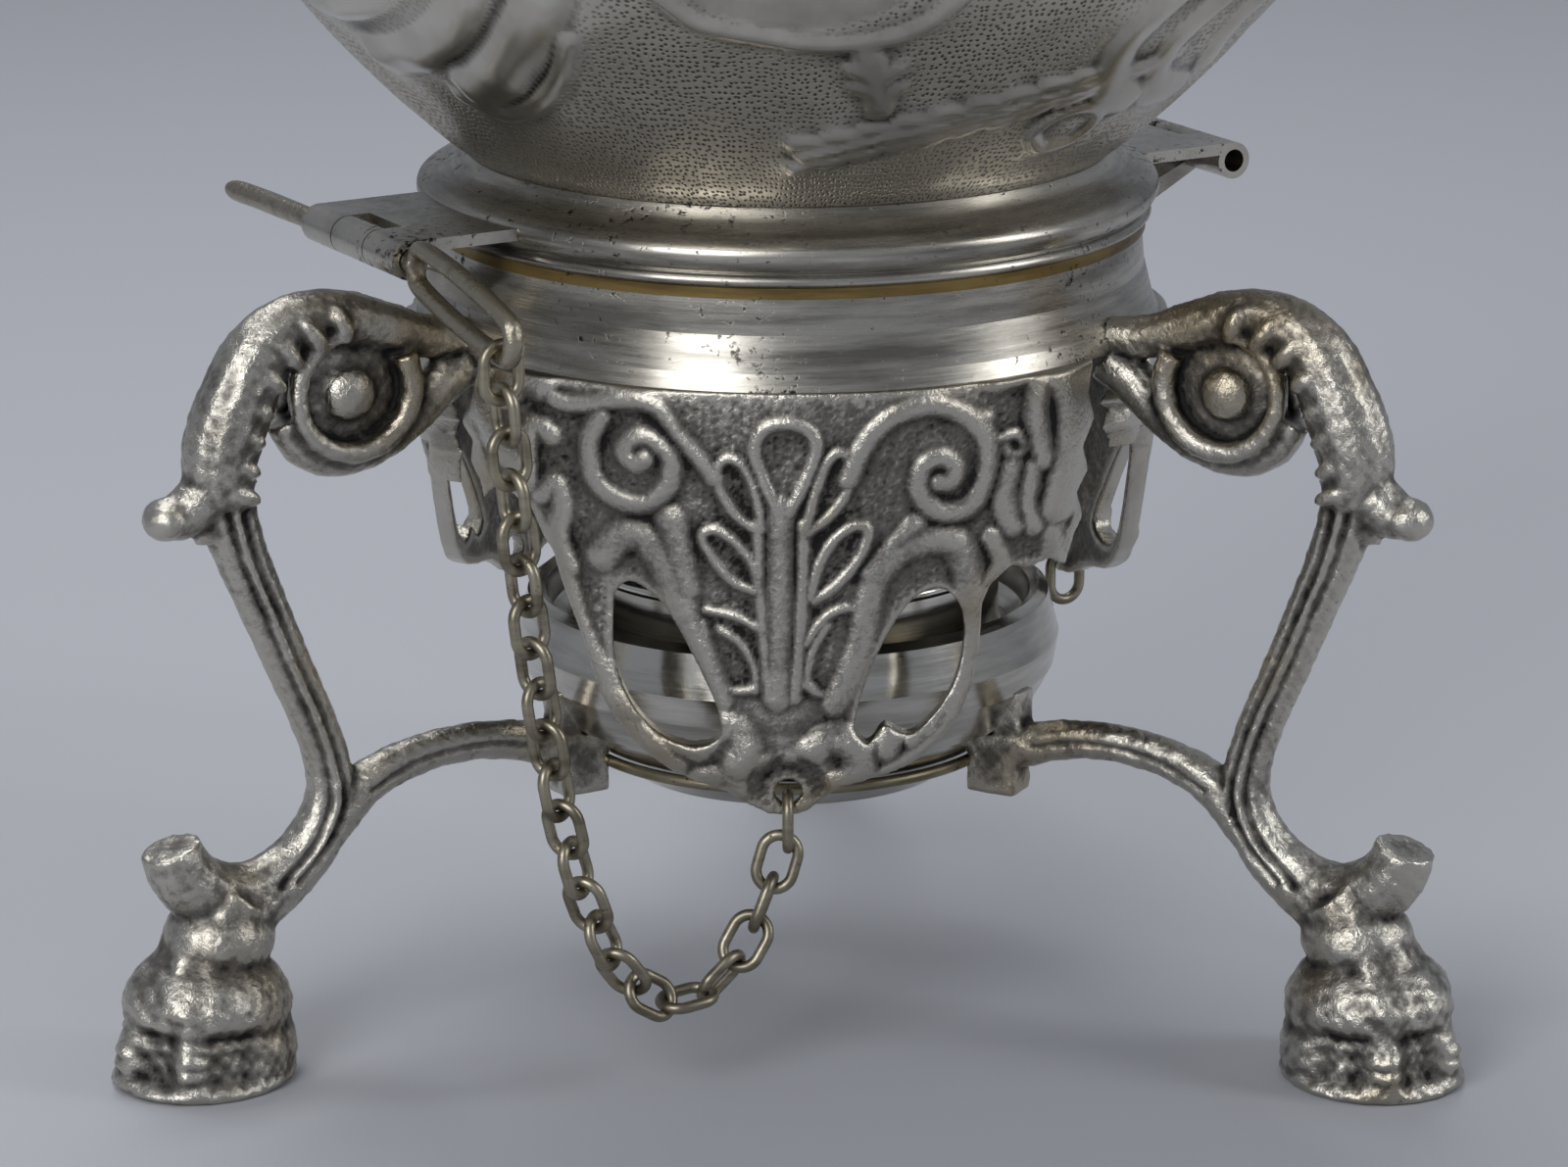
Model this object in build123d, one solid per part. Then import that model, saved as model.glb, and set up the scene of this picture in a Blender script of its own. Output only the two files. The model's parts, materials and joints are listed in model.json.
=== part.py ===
from build123d import *
import math
import os

# Tilting spirit kettle on its stand, with a spirit burner under it. All sizes are in millimetres.
# The stand's axis is the Z axis while the pieces are made; the spout points along -X.

# Stand ring, the spun band that the kettle stands in
ring_bottom_z = 119.0
ring_height = 15.0
ring_top_r = 60.2
ring_flare = 3.3
ring_wall = 1.6
shelf_width = 5.0
seat_height = 1.8
seat_lip = 0.6

# Burner hoop, the wire ring that the legs' braces carry
hoop_r = 37.0
hoop_z = 44.0
hoop_wire_r = 1.0

# Cast legs
leg_angles = {"leg_front": 180.0, "leg_left": 300.0, "leg_right": 60.0}
leg_thickness = 9.0
scroll_r = 84.0
scroll_z = 115.0
scroll_boss_r = 6.5
scroll_boss_width = 13.0
knee_r = 112.5
knee_z = 104.0
waist_r = 89.5
waist_z = 54.0
ankle_r = 112.0
ankle_z = 25.0
brace_height = 8.5
lug_height = 13.0
lug_r = 44.5
lug_width = 4.5
paw_length = 33.0
paw_width = 26.0
paw_height = 26.0
toe_height = 10.5
toe_gap = 0.7
toe_set_back = 0.35
toe_count = 4

# Cast aprons between the legs
apron_angles = {"apron_left": 240.0, "apron_rear": 0.0, "apron_right": 120.0}
front_apron_drop = 73.0
back_apron_drop = 55.0
apron_thickness = 2.2
apron_relief = 1.6
apron_half_angle = 54.67
apron_lobe_drop = 23.5
apron_waist = 33.5
apron_foot_in = 6.5
apron_hole_half_width = 8.5
apron_rib_half_width = 11.5
tip_hole_r = 2.3
tip_hole_up = 4.2
tip_half_width = 5.4

# Hinges between kettle and stand
hinge_reach = 19.8
hinge_rise = 3.2
knuckle_r = 3.2
pin_r = 1.9
pin_clearance = 0.08
hinge_width = 34.0
middle_knuckle = 11.4
knuckle_gap = 0.3
tab_thickness = 2.0
strap_thickness = 4.5
strap_root_z = 129.8
pin_tip_reach = 36.0
loop_length = 38.0
loop_height = 10.0
loop_strip = 2.0
loop_thickness = 3.0
loop_tilt = 11.0

# Chain links
link_length = 11.0
link_width = 8.0
link_wire_r = 0.95
link_slack = 0.12
tip_slack = 0.22
chain_links = 23

# Kettle
flange_overhang = 2.8
flange_height = 9.0
kettle_wall = 1.2
neck_r = 50.5
neck_rise = 5.5
base_lift = 3.2
flank_r = 80.0
flank_z = 172.0
belly_r = 97.0
belly_z = 207.0
shoulder_r = 80.0
shoulder_z = 243.0
mouth_r = 44.0
mouth_z = 256.0
rim_height = 3.5

# Spout
spout_wall = 1.2
spout_root_r = 15.0
spout_tip_r = 7.5
spout_root_z = 207.0
spout_reach = 152.0
spout_tip_z = 264.0
spout_hole_r = 9.0

# Lid
bezel_width = 3.0
bezel_height = 5.0
lid_gap = 0.3
lid_wall = 1.2
lid_rise = 21.0
lid_plug_depth = 5.0
lid_plug_gap = 0.9
lid_knuckle_r = 2.6
lid_pin_r = 1.1
lid_pin_clearance = 0.06
lid_hinge_out = 3.6
lid_middle_knuckle = 8.0
lid_side_knuckle = 6.0
finial_height = 36.0
finial_r = 10.0
finial_stem_r = 4.0
finial_screw_r = 1.8
nut_r = 4.5
nut_height = 3.0

# Swing handle
handle_pivot_x = 79.0
handle_pivot_z = 252.0
eye_r = 6.0
eye_width = 4.5
eye_gap = 0.4
lug_eye_width = 4.0
handle_pin_r = 2.2
handle_pin_clearance = 0.08
pin_head_r = 4.0
pin_head_width = 1.5
arm_r = 3.8
handle_top_z = 378.0
grip_length = 78.0
grip_r = 8.5
grip_end_r = 6.0
insulator_width = 3.0
insulator_r = 7.0

# Spirit burner
seat_gap = 0.2
bowl_slope = 40.0
bowl_foot_drop = 5.5
bulge_r = 47.0
bulge_z = 62.0
bowl_rim_r = 43.5
bowl_rim_z = 70.5
bowl_wall = 1.0
dish_z = 62.0
collar_r = 36.5
collar_top_z = 77.0
collar_wall = 1.2
bead_r = 1.1
cover_rise = 5.0
wick_tube_r = 9.0
wick_tube_wall = 1.0
wick_tube_height = 15.0
wick_gap = 0.3
wick_stand = 2.0
cap_r = 11.5
cap_wall = 1.0
cap_height = 19.0
cap_knob_r = 3.6

# Sizes that follow from the ones above
ring_top_z = ring_bottom_z + ring_height
ring_bottom_r = ring_top_r + ring_flare
flange_r = ring_top_r + flange_overhang
apron_drops = {"apron_left": front_apron_drop, "apron_rear": back_apron_drop, "apron_right": back_apron_drop}
seat_top_z = ring_top_z + seat_height
seat_r = ring_top_r + seat_lip
hinge_z = seat_top_z + hinge_rise
base_z = seat_top_z + base_lift
neck_z = base_z + neck_rise
rim_z = mouth_z + rim_height
lid_z = rim_z + lid_gap
leg_half = leg_thickness / 2
hinge_r = ring_top_r + hinge_reach
apron_top_r = ring_bottom_r - ring_wall
apron_half_width = apron_top_r * math.sin(math.radians(apron_half_angle))


def profile(*edges):
    """A face in the XZ plane from edges that join end to end, as (radius, height) points."""
    outline = edges[0]
    for edge in edges[1:]:
        outline = outline + edge
    return Plane.XZ * make_face(outline)


def turned(points):
    """A turned or spun solid: a closed polygon of (radius, height) points round the Z axis."""
    return revolve(profile(Polyline(*points, close=True)), Axis.Z)


def offset_curve(points, distance):
    """The points of a smooth curve moved to its right-hand side by a wall's thickness."""
    moved = []
    for i, (x, z) in enumerate(points):
        x0, z0 = points[max(i - 1, 0)]
        x1, z1 = points[min(i + 1, len(points) - 1)]
        length = math.hypot(x1 - x0, z1 - z0)
        moved.append((x + distance * (z1 - z0) / length, z - distance * (x1 - x0) / length))
    return moved


def rod(centre, direction, radius, length):
    """A round rod centred on a point, along a direction."""
    return Plane(origin=centre, z_dir=direction) * Cylinder(radius, length)


# Stand ring and the brass strip on top of it

def ring_outline():
    """Outer side of the ring from its top edge down to its flared foot."""
    return [
        (ring_top_r, ring_top_z),
        (ring_top_r + ring_flare * 0.15, ring_top_z - ring_height * 0.4),
        (ring_top_r + ring_flare * 0.6, ring_top_z - ring_height * 0.8),
        (ring_bottom_r, ring_bottom_z),
    ]


def make_stand_ring():
    outer = ring_outline()
    inner = [(r - ring_wall, z) for r, z in outer]
    shelf_z = ring_top_z - ring_wall
    shelf_r = ring_top_r - shelf_width
    inner[0] = (ring_top_r - ring_wall, shelf_z)
    return turned(outer + inner[::-1] + [(shelf_r, shelf_z), (shelf_r, ring_top_z)])


def ring_envelope():
    """The ring filled in to the axis, for cutting what is soldered to its outside."""
    outer = ring_outline()
    return turned([(0, ring_top_z)] + outer + [(0, ring_bottom_z)])


def make_seat_ring():
    inner_r = ring_top_r - shelf_width
    return turned([
        (inner_r, ring_top_z),
        (seat_r, ring_top_z),
        (seat_r, seat_top_z),
        (inner_r, seat_top_z),
    ])


# Burner bowl, whose outside also shapes the ends of the legs' braces

def bowl_contact():
    """Where the bowl's underside meets the hoop's wire."""
    slope = math.radians(bowl_slope)
    reach = hoop_wire_r + seat_gap
    return hoop_r - reach * math.sin(slope), hoop_z + reach * math.cos(slope)


def bowl_outside(clearance=0.0):
    """Edges of the bowl's outside from its foot up to its rim, a clearance larger all over."""
    slope = math.radians(bowl_slope)
    contact_r, contact_z = bowl_contact()
    foot_z = hoop_z - bowl_foot_drop
    foot_r = contact_r - (contact_z - foot_z) / math.tan(slope)
    shoulder = (bulge_r - 4.5, contact_z + (bulge_r - 4.5 - contact_r) * math.tan(slope))
    points = [shoulder, (bulge_r - 0.8, bulge_z - 5.0), (bulge_r, bulge_z), (bowl_rim_r + 1.6, bowl_rim_z - 1.2)]
    grown = offset_curve(points, clearance)
    foot = (foot_r + clearance * math.sin(slope), foot_z - clearance)
    return [foot] + grown + [(bowl_rim_r, bowl_rim_z + clearance)]


def bowl_envelope(clearance):
    outside = bowl_outside(clearance)
    top_z = collar_top_z + clearance
    return turned([(0, outside[0][1])] + outside + [(outside[-1][0], top_z), (0, top_z)])


def make_reservoir():
    outside = bowl_outside()
    foot_r, foot_z = outside[0]
    wall = bowl_wall
    solid = turned(
        [(0, foot_z)] + outside
        + [(bowl_rim_r - 1.5, bowl_rim_z - 1.0), (bowl_rim_r - 2.5, dish_z + 3.0), (collar_r + 2.0, dish_z)]
        + [(0, dish_z)]
    )
    cavity = turned([
        (0, foot_z + wall),
        (foot_r, foot_z + wall),
        (outside[1][0] - wall, outside[1][1] + wall),
        (outside[2][0] - wall, outside[2][1]),
        (bulge_r - wall, dish_z - 3.0),
        (collar_r + 2.0, dish_z - wall),
        (0, dish_z - wall),
    ])
    filler = Pos(0, 0, dish_z) * Cylinder(collar_r - collar_wall - 3.0, 6 * wall)
    return solid - cavity - filler


def make_burner_collar():
    wall_in = collar_r - collar_wall
    body = turned([(wall_in, dish_z), (collar_r, dish_z), (collar_r, collar_top_z), (wall_in, collar_top_z)])
    low_bead = Pos(0, 0, dish_z + bead_r) * Torus(collar_r, bead_r)
    top_bead = Pos(0, 0, collar_top_z - bead_r) * Torus(collar_r, bead_r)
    return body + low_bead + top_bead


def make_burner_cover():
    rim = collar_r - collar_wall
    tube_r = wick_tube_r
    low = collar_top_z - 3.0
    return turned([
        (rim, low),
        (rim, low + bowl_wall),
        (rim * 0.6, low + cover_rise * 0.8 + bowl_wall),
        (tube_r, low + cover_rise + bowl_wall),
        (tube_r, low + cover_rise),
        (rim * 0.6, low + cover_rise * 0.8),
    ])


def wick_tube_top():
    return collar_top_z - 3.0 + cover_rise + wick_tube_height


def make_wick_tube():
    top = wick_tube_top()
    inner = wick_tube_r - wick_tube_wall
    return turned([
        (inner, dish_z - 8.0),
        (wick_tube_r, dish_z - 8.0),
        (wick_tube_r, top),
        (inner, top),
    ])


def make_wick():
    top = wick_tube_top() + wick_stand
    low = hoop_z - bowl_foot_drop + bowl_wall + 0.5
    r = wick_tube_r - wick_tube_wall - wick_gap
    return turned([(0, low), (r, low), (r, top - 2.0), (r * 0.7, top), (0, top)])


def make_snuffer_cap():
    low = wick_tube_top() - wick_tube_height + bowl_wall + 0.3
    top = low + cap_height
    shell = turned([
        (cap_r - cap_wall, low),
        (cap_r + 0.8, low),
        (cap_r, low + 2.0),
        (cap_r, top - 4.0),
        (cap_r - 3.0, top - 1.0),
        (0, top),
        (0, top - cap_wall),
        (cap_r - 3.4, top - 1.0 - cap_wall),
        (cap_r - cap_wall, top - 4.4),
    ])
    stem = Pos(0, 0, top + 1.0) * Cylinder(cap_knob_r * 0.5, 3.0)
    knob = Pos(0, 0, top + 2.0 + cap_knob_r * 0.8) * Sphere(cap_knob_r)
    return shell + stem + knob


# Cast legs, each with its scroll, brace and lion's paw

def leg_outline():
    """The leg's side view as (radius, height): down the outside, then back up the inside."""
    root_r = ring_top_r
    outer_arch = Spline(
        (root_r, ring_bottom_z + 6.0),
        (scroll_r - 9.0, scroll_z + 12.0),
        (scroll_r + 6.0, scroll_z + 16.8),
        (knee_r - 6.0, scroll_z + 9.0),
        (knee_r, knee_z),
    )
    spur = Polyline((knee_r, knee_z), (knee_r + 6.5, knee_z - 6.0), (knee_r - 4.0, knee_z - 12.0))
    outer_stem = Spline(
        (knee_r - 4.0, knee_z - 12.0),
        (waist_r + 10.5, waist_z + 25.0),
        (waist_r + 3.0, waist_z + 5.0),
        (waist_r + 5.0, waist_z - 13.0),
        (ankle_r - 3.0, ankle_z + 10.0),
    )
    low_spur = Polyline(
        (ankle_r - 3.0, ankle_z + 10.0),
        (ankle_r + 12.0, ankle_z + 19.5),
        (ankle_r + 9.0, ankle_z + 7.0),
        (ankle_r + 8.0, ankle_z - 5.0),
        (ankle_r - 13.0, ankle_z - 5.0),
    )
    brace_top_z = hoop_z + brace_height / 2 + 1.5
    brace_low_z = brace_top_z - brace_height
    inner_foot = Spline(
        (ankle_r - 13.0, ankle_z - 5.0),
        (ankle_r - 20.0, ankle_z + 7.0),
        (waist_r - 11.0, brace_low_z - 1.0),
        (lug_r + 12.0, brace_low_z + 2.5),
        (hoop_r, brace_low_z),
    )
    brace_end = Polyline(
        (hoop_r, brace_low_z),
        (hoop_r, brace_top_z),
        (lug_r - lug_width / 2, brace_top_z),
        (lug_r - lug_width / 2, hoop_z + lug_height),
        (lug_r + lug_width / 2, hoop_z + lug_height),
        (lug_r + lug_width / 2 + 1.5, brace_top_z + 0.5),
    )
    brace_top = Spline(
        (lug_r + lug_width / 2 + 1.5, brace_top_z + 0.5),
        (lug_r + 18.0, brace_top_z + 2.0),
        (waist_r - 5.5, waist_z - 6.5),
    )
    inner_stem = Spline(
        (waist_r - 5.5, waist_z - 6.5),
        (waist_r - 1.5, waist_z + 8.0),
        (waist_r + 8.5, waist_z + 30.0),
        (scroll_r + 13.5, scroll_z - 8.0),
        (scroll_r, scroll_z - 8.0),
        (scroll_r - 12.0, scroll_z - 6.0),
        (root_r, ring_bottom_z - 2.0),
    )
    root = Line((root_r, ring_bottom_z - 2.0), (root_r, ring_bottom_z + 6.0))
    return profile(outer_arch, spur, outer_stem, low_spur, inner_foot, brace_end, brace_top, inner_stem, root)


def make_paw():
    front_r = ankle_r + 0.6 * paw_length
    heel_r = front_r - paw_length
    side = profile(Polyline(
        (heel_r, 0),
        (heel_r - 1.5, paw_height * 0.3),
        (heel_r + 3.5, paw_height * 0.8),
        (ankle_r, paw_height),
        (ankle_r + 9.0, paw_height * 0.85),
        (front_r - 8.0, paw_height * 0.45),
        (front_r - 8.0, 0),
        close=True,
    ))
    paw = extrude(side, paw_width * 0.36, both=True)
    toe_pitch = paw_width / toe_count
    for i in range(toe_count):
        across = (i - (toe_count - 1) / 2) * toe_pitch
        reach = front_r - abs(across) * toe_set_back
        toe = profile(
            Polyline((heel_r + 8.0, paw_height * 0.3), (heel_r + 8.0, 0), (reach - 2.0, 0)),
            Spline(
                (reach - 2.0, 0),
                (reach, toe_height * 0.35),
                (reach - 2.5, toe_height * 0.85),
                (reach - 7.0, toe_height),
                (reach - 14.0, toe_height * 1.5),
            ),
            Line((reach - 14.0, toe_height * 1.5), (heel_r + 8.0, paw_height * 0.3)),
        )
        paw = paw + Pos(0, across, 0) * extrude(toe, (toe_pitch - toe_gap) / 2, both=True)
    return paw


def make_leg():
    plate = extrude(leg_outline(), leg_half, both=True)
    boss = rod((scroll_r, 0, scroll_z), (0, 1, 0), scroll_boss_r, scroll_boss_width)
    leg = plate + boss + make_paw()
    leg = leg - ring_envelope()
    leg = leg - bowl_envelope(0.3)
    leg = leg - Pos(0, 0, hoop_z) * Torus(hoop_r, hoop_wire_r)
    hoop_core = Pos(0, 0, hoop_z) * Cylinder(hoop_r, 4 * brace_height)
    return largest(leg - hoop_core)


def largest(shape):
    """The biggest solid of a cut, which drops slivers left beside it."""
    return max(shape.solids(), key=lambda solid: solid.volume)


# Cast aprons: an ornamental outline bent round the stand

def apron_outline(drop):
    """One apron seen from outside, as (across, height), with its tip at the bottom."""
    top = ring_bottom_z
    tip_z = top - drop
    side_z = top - apron_lobe_drop
    right = [
        Polyline((0, top), (apron_half_width, top)),
        Spline(
            (apron_half_width, top),
            (apron_half_width + 1.5, top - apron_lobe_drop * 0.5),
            (apron_half_width - 4.0, side_z),
            (apron_waist + 6.0, side_z - 6.0),
            (apron_waist, side_z - drop * 0.17),
            (apron_waist - 1.0, tip_z + drop * 0.22),
            (apron_waist - 14.0, tip_z + drop * 0.07),
            (tip_half_width, tip_z + 2.2),
        ),
        Spline((tip_half_width, tip_z + 2.2), (tip_half_width * 0.6, tip_z + 0.5), (0, tip_z)),
    ]
    edges = right[0] + right[1] + right[2]
    half = make_face(edges + Line((0, tip_z), (0, top)))
    return half + mirror(half, Plane.YZ)


def apron_shell(drop, extra):
    """The bent sheet that an apron is cut from, thicker by the relief's height."""
    low_z = ring_bottom_z - drop - 1.0
    low_r = apron_top_r - apron_foot_in
    thick = apron_thickness + extra
    return turned([
        (apron_top_r, ring_bottom_z),
        (low_r, low_z),
        (low_r + thick, low_z),
        (apron_top_r + thick, ring_bottom_z),
    ])


def stamp(face):
    """A flat outline, drawn as (across, height), pushed outward through the bent sheet."""
    outward = Plane(origin=(0, 0, 0), x_dir=(0, 1, 0), z_dir=(1, 0, 0))
    return extrude(outward * face, 2 * ring_bottom_r)


def make_apron(drop):
    top = ring_bottom_z
    tip_z = top - drop
    outline = apron_outline(drop)
    hole_z = top - 0.66 * drop
    hole_half_height = 0.185 * drop
    for side in (-1, 1):
        across = side * (apron_rib_half_width + apron_hole_half_width)
        outline = outline - Pos(across, hole_z) * Ellipse(apron_hole_half_width, hole_half_height)
    outline = outline - Pos(0, tip_z + tip_hole_up) * Circle(tip_hole_r)
    plate = stamp(outline) & apron_shell(drop, 0)
    leaf = Pos(0, top - 0.42 * drop) * Ellipse(apron_rib_half_width, 0.36 * drop)
    relief = stamp(leaf) & apron_shell(drop, apron_relief)
    for side in (-1, 1):
        curl = Pos(side * apron_half_width * 0.55, top - 0.2 * drop) * Circle(0.11 * apron_drops["apron_left"])
        relief = relief + (stamp(curl) & apron_shell(drop, apron_relief))
    return plate + relief


# Hinge between kettle and stand: straps on the stand, tabs on the kettle, both made at +X

def knuckle(start_y, length):
    return rod((hinge_r, start_y + length / 2, hinge_z), (0, 1, 0), knuckle_r, length)


def hinge_bore():
    return rod((hinge_r, 0, hinge_z), (0, 1, 0), pin_r + pin_clearance, 2 * hinge_width)


def make_strap():
    low_z = strap_root_z - strap_thickness
    side = profile(Polyline(
        (ring_top_r, strap_root_z),
        (hinge_r - 1.0, hinge_z - 0.4 * knuckle_r),
        (hinge_r + 1.0, hinge_z - 0.8 * knuckle_r),
        (hinge_r - 2.0, hinge_z - knuckle_r - 1.0),
        (ring_top_r, low_z),
        close=True,
    ))
    strap = extrude(side, middle_knuckle / 2, both=True)
    strap = strap + knuckle(-middle_knuckle / 2, middle_knuckle)
    strap = strap - hinge_bore() - ring_envelope()
    return largest(strap)


def make_tab():
    plate_top = hinge_z + knuckle_r
    plate_low = plate_top - tab_thickness
    length = hinge_r - neck_r
    middle_x = (hinge_r + neck_r) / 2
    tab = Pos(middle_x, 0, (plate_top + plate_low) / 2) * Box(length, hinge_width, tab_thickness)
    side = (hinge_width - middle_knuckle) / 2 - knuckle_gap
    for start in (-hinge_width / 2, hinge_width / 2 - side):
        tab = tab + knuckle(start, side)
    notch_reach = knuckle_r + 3 * knuckle_gap
    notch_half = middle_knuckle / 2 + knuckle_gap
    notch = Pos(hinge_r, 0, hinge_z) * Box(2 * notch_reach, 2 * notch_half, 4 * knuckle_r)
    tab = tab - notch - hinge_bore() - flange_envelope()
    return largest(tab)


# Kettle base, body, spout and lid

def flange_outside():
    """Outside of the base collar, from its seat up to the neck."""
    return [
        (seat_r, seat_top_z),
        (seat_r + 0.9, seat_top_z + 0.9),
        (seat_r + 0.2, seat_top_z + 2.2),
        (flange_r - 0.6, seat_top_z + 0.45 * flange_height),
        (flange_r, seat_top_z + 0.6 * flange_height),
        (flange_r - 1.2, seat_top_z + 0.85 * flange_height),
        (flange_r - 5.0, seat_top_z + flange_height),
        (neck_r, neck_z),
    ]


def make_flange():
    inner_r = ring_top_r - shelf_width
    return turned(flange_outside() + [(neck_r, base_z), (inner_r, base_z - 1.0), (inner_r, seat_top_z)])


def flange_envelope():
    return turned([(0, seat_top_z)] + flange_outside() + [(0, neck_z)])


def body_curve():
    """The kettle's side from its neck over the belly and shoulder to the mouth."""
    return [
        (neck_r, neck_z),
        ((neck_r + flank_r) / 2 - 1.7, (neck_z + flank_z) / 2 - 3.2),
        (flank_r, flank_z),
        (belly_r - 4.8, (flank_z + belly_z) / 2 - 1.0),
        (belly_r, belly_z),
        ((belly_r + shoulder_r) / 2 + 4.2, (belly_z + shoulder_z) / 2 + 2.0),
        (shoulder_r, shoulder_z),
        ((shoulder_r + mouth_r) / 2 + 1.0, (shoulder_z + mouth_z) / 2 + 3.2),
        (mouth_r, mouth_z),
    ]


def make_kettle_body():
    inner = offset_curve(body_curve(), -kettle_wall)
    inner[0] = (neck_r - kettle_wall, neck_z + kettle_wall / 2)
    inner[-1] = (mouth_r - kettle_wall, mouth_z - kettle_wall / 2)
    floor_z = base_z + kettle_wall
    open_z = rim_z + rim_height
    cavity = profile(
        Polyline((0, open_z), (0, floor_z), (neck_r - kettle_wall, floor_z), inner[0]),
        Spline(*inner),
        Polyline(inner[-1], (mouth_r - kettle_wall, open_z), (0, open_z)),
    )
    body = body_envelope() - revolve(cavity, Axis.Z)
    return body - rod((-belly_r, 0, spout_root_z), (1, 0, 0), spout_hole_r, 12 * kettle_wall)


def body_envelope():
    section = profile(
        Polyline((0, rim_z), (0, base_z), (neck_r, base_z), (neck_r, neck_z)),
        Spline(*body_curve()),
        Polyline((mouth_r, mouth_z), (mouth_r, rim_z), (0, rim_z)),
    )
    return revolve(section, Axis.Z)


def spout_stations():
    """Centre line of the spout as (reach, height, slope in degrees, outer radius)."""
    rise = spout_tip_z - spout_root_z
    run = spout_reach - belly_r
    return [
        (belly_r - 12.0, spout_root_z, 0.0, spout_root_r + 1.5),
        (belly_r + 0.12 * run, spout_root_z + 0.02 * rise, 12.0, spout_root_r - 1.0),
        (belly_r + 0.42 * run, spout_root_z + 0.24 * rise, 52.0, spout_root_r * 0.7),
        (belly_r + 0.58 * run, spout_root_z + 0.58 * rise, 66.0, spout_root_r * 0.56),
        (belly_r + 0.76 * run, spout_root_z + 0.86 * rise, 48.0, spout_tip_r),
        (spout_reach, spout_tip_z, 24.0, spout_tip_r * 0.95),
    ]


def spout_loft(wall):
    sections = []
    for reach, height, slope, radius in spout_stations():
        turn = math.radians(slope)
        plane = Plane(origin=(-reach, 0, height), x_dir=(0, 1, 0), z_dir=(-math.cos(turn), 0, math.sin(turn)))
        sections.append(plane * Circle(radius - wall))
    return loft(sections)


def make_spout():
    spout = spout_loft(0) - spout_loft(spout_wall) - body_envelope()
    return largest(spout)


def make_bezel():
    return turned([
        (mouth_r, mouth_z + 0.6),
        (mouth_r + bezel_width, mouth_z + 0.8),
        (mouth_r + bezel_width, rim_z),
        (mouth_r, rim_z),
    ])


def lid_hinge_y():
    return mouth_r + bezel_width + lid_hinge_out


def lid_barrel(start_x, length):
    return rod((start_x + length / 2, lid_hinge_y(), lid_z), (1, 0, 0), lid_knuckle_r, length)


def lid_bore(radius):
    return rod((0, lid_hinge_y(), lid_z), (1, 0, 0), radius, mouth_r)


def make_lid_leaf():
    """Hinge leaf soldered to the bezel, with the two outer knuckles."""
    start = lid_middle_knuckle / 2 + knuckle_gap
    leaf = None
    for x in (start, -start - lid_side_knuckle):
        foot_low = rim_z - bezel_height * 0.55
        web = Pos(x + lid_side_knuckle / 2, lid_hinge_y() - lid_hinge_out / 2 - 0.5, (foot_low + lid_z) / 2) * Box(
            lid_side_knuckle, lid_hinge_out + 1.0, lid_z - foot_low)
        piece = lid_barrel(x, lid_side_knuckle) + web
        leaf = piece if leaf is None else leaf + piece
    cutter = turned([
        (0, base_z),
        (mouth_r + bezel_width, base_z),
        (mouth_r + bezel_width, rim_z + 10.0),
        (0, rim_z + 10.0),
    ])
    return leaf - cutter - lid_bore(lid_pin_r)


def make_lid_pin():
    length = lid_middle_knuckle + 2 * (lid_side_knuckle + knuckle_gap) + 1.6
    return rod((0, lid_hinge_y(), lid_z), (1, 0, 0), lid_pin_r, length)


def lid_top_z():
    return lid_z + lid_rise


def make_lid():
    rim_r = mouth_r + bezel_width - 0.5
    plug_r = mouth_r - kettle_wall - lid_plug_gap
    wall = lid_wall
    dome = [
        (rim_r, lid_z + 1.2),
        (rim_r - 4.5, lid_z + 2.6),
        (rim_r * 0.72, lid_z + lid_rise * 0.52),
        (rim_r * 0.42, lid_z + lid_rise * 0.83),
        (finial_stem_r + 3.0, lid_top_z() - 0.6),
    ]
    under = [(r - 0.3, z - wall) for r, z in dome]
    lid = turned(
        [(0, lid_top_z()), (finial_stem_r + 3.0, lid_top_z() - 0.2)] + dome[::-1][1:]
        + [(rim_r, lid_z), (plug_r, lid_z), (plug_r, lid_z - lid_plug_depth)]
        + [(plug_r - wall, lid_z - lid_plug_depth), (plug_r - wall, lid_z + 1.0)]
        + under[2:] + [(0, lid_top_z() - wall - 0.6)]
    )
    arm = Pos(0, (rim_r - 3.0 + lid_hinge_y()) / 2, lid_z + 1.0) * Box(
        lid_middle_knuckle, lid_hinge_y() - rim_r + 3.0, 2.0)
    lid = lid + arm + lid_barrel(-lid_middle_knuckle / 2, lid_middle_knuckle)
    lid = lid - lid_bore(lid_pin_r + lid_pin_clearance)
    return lid - Pos(0, 0, lid_top_z()) * Cylinder(finial_screw_r, 4 * lid_rise)


def make_finial():
    low = lid_top_z()
    h = finial_height
    knob = turned([
        (0, low),
        (finial_stem_r + 2.0, low),
        (finial_stem_r + 2.2, low + 0.05 * h),
        (finial_stem_r - 0.8, low + 0.14 * h),
        (finial_stem_r - 1.4, low + 0.24 * h),
        (finial_r * 0.6, low + 0.31 * h),
        (finial_r, low + 0.44 * h),
        (finial_r * 0.96, low + 0.55 * h),
        (finial_r * 0.62, low + 0.68 * h),
        (finial_r * 0.3, low + 0.76 * h),
        (finial_r * 0.42, low + 0.84 * h),
        (finial_r * 0.3, low + 0.94 * h),
        (0, low + h),
    ])
    screw_length = lid_wall + nut_height + 3.0
    screw = Pos(0, 0, low - screw_length / 2) * Cylinder(finial_screw_r, screw_length)
    return knob + screw


def make_finial_nut():
    top = lid_top_z() - lid_wall - 0.6
    nut = extrude(Plane.XY.offset(top - nut_height) * RegularPolygon(nut_r, 6), nut_height)
    return nut - Pos(0, 0, top) * Cylinder(finial_screw_r, 4 * nut_height)


# Swing handle, made at +X and turned round for the front

def handle_bore(radius):
    return rod((handle_pivot_x, 0, handle_pivot_z), (1, 0, 0), radius, 4 * (lug_eye_width + eye_gap + eye_width))


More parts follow.
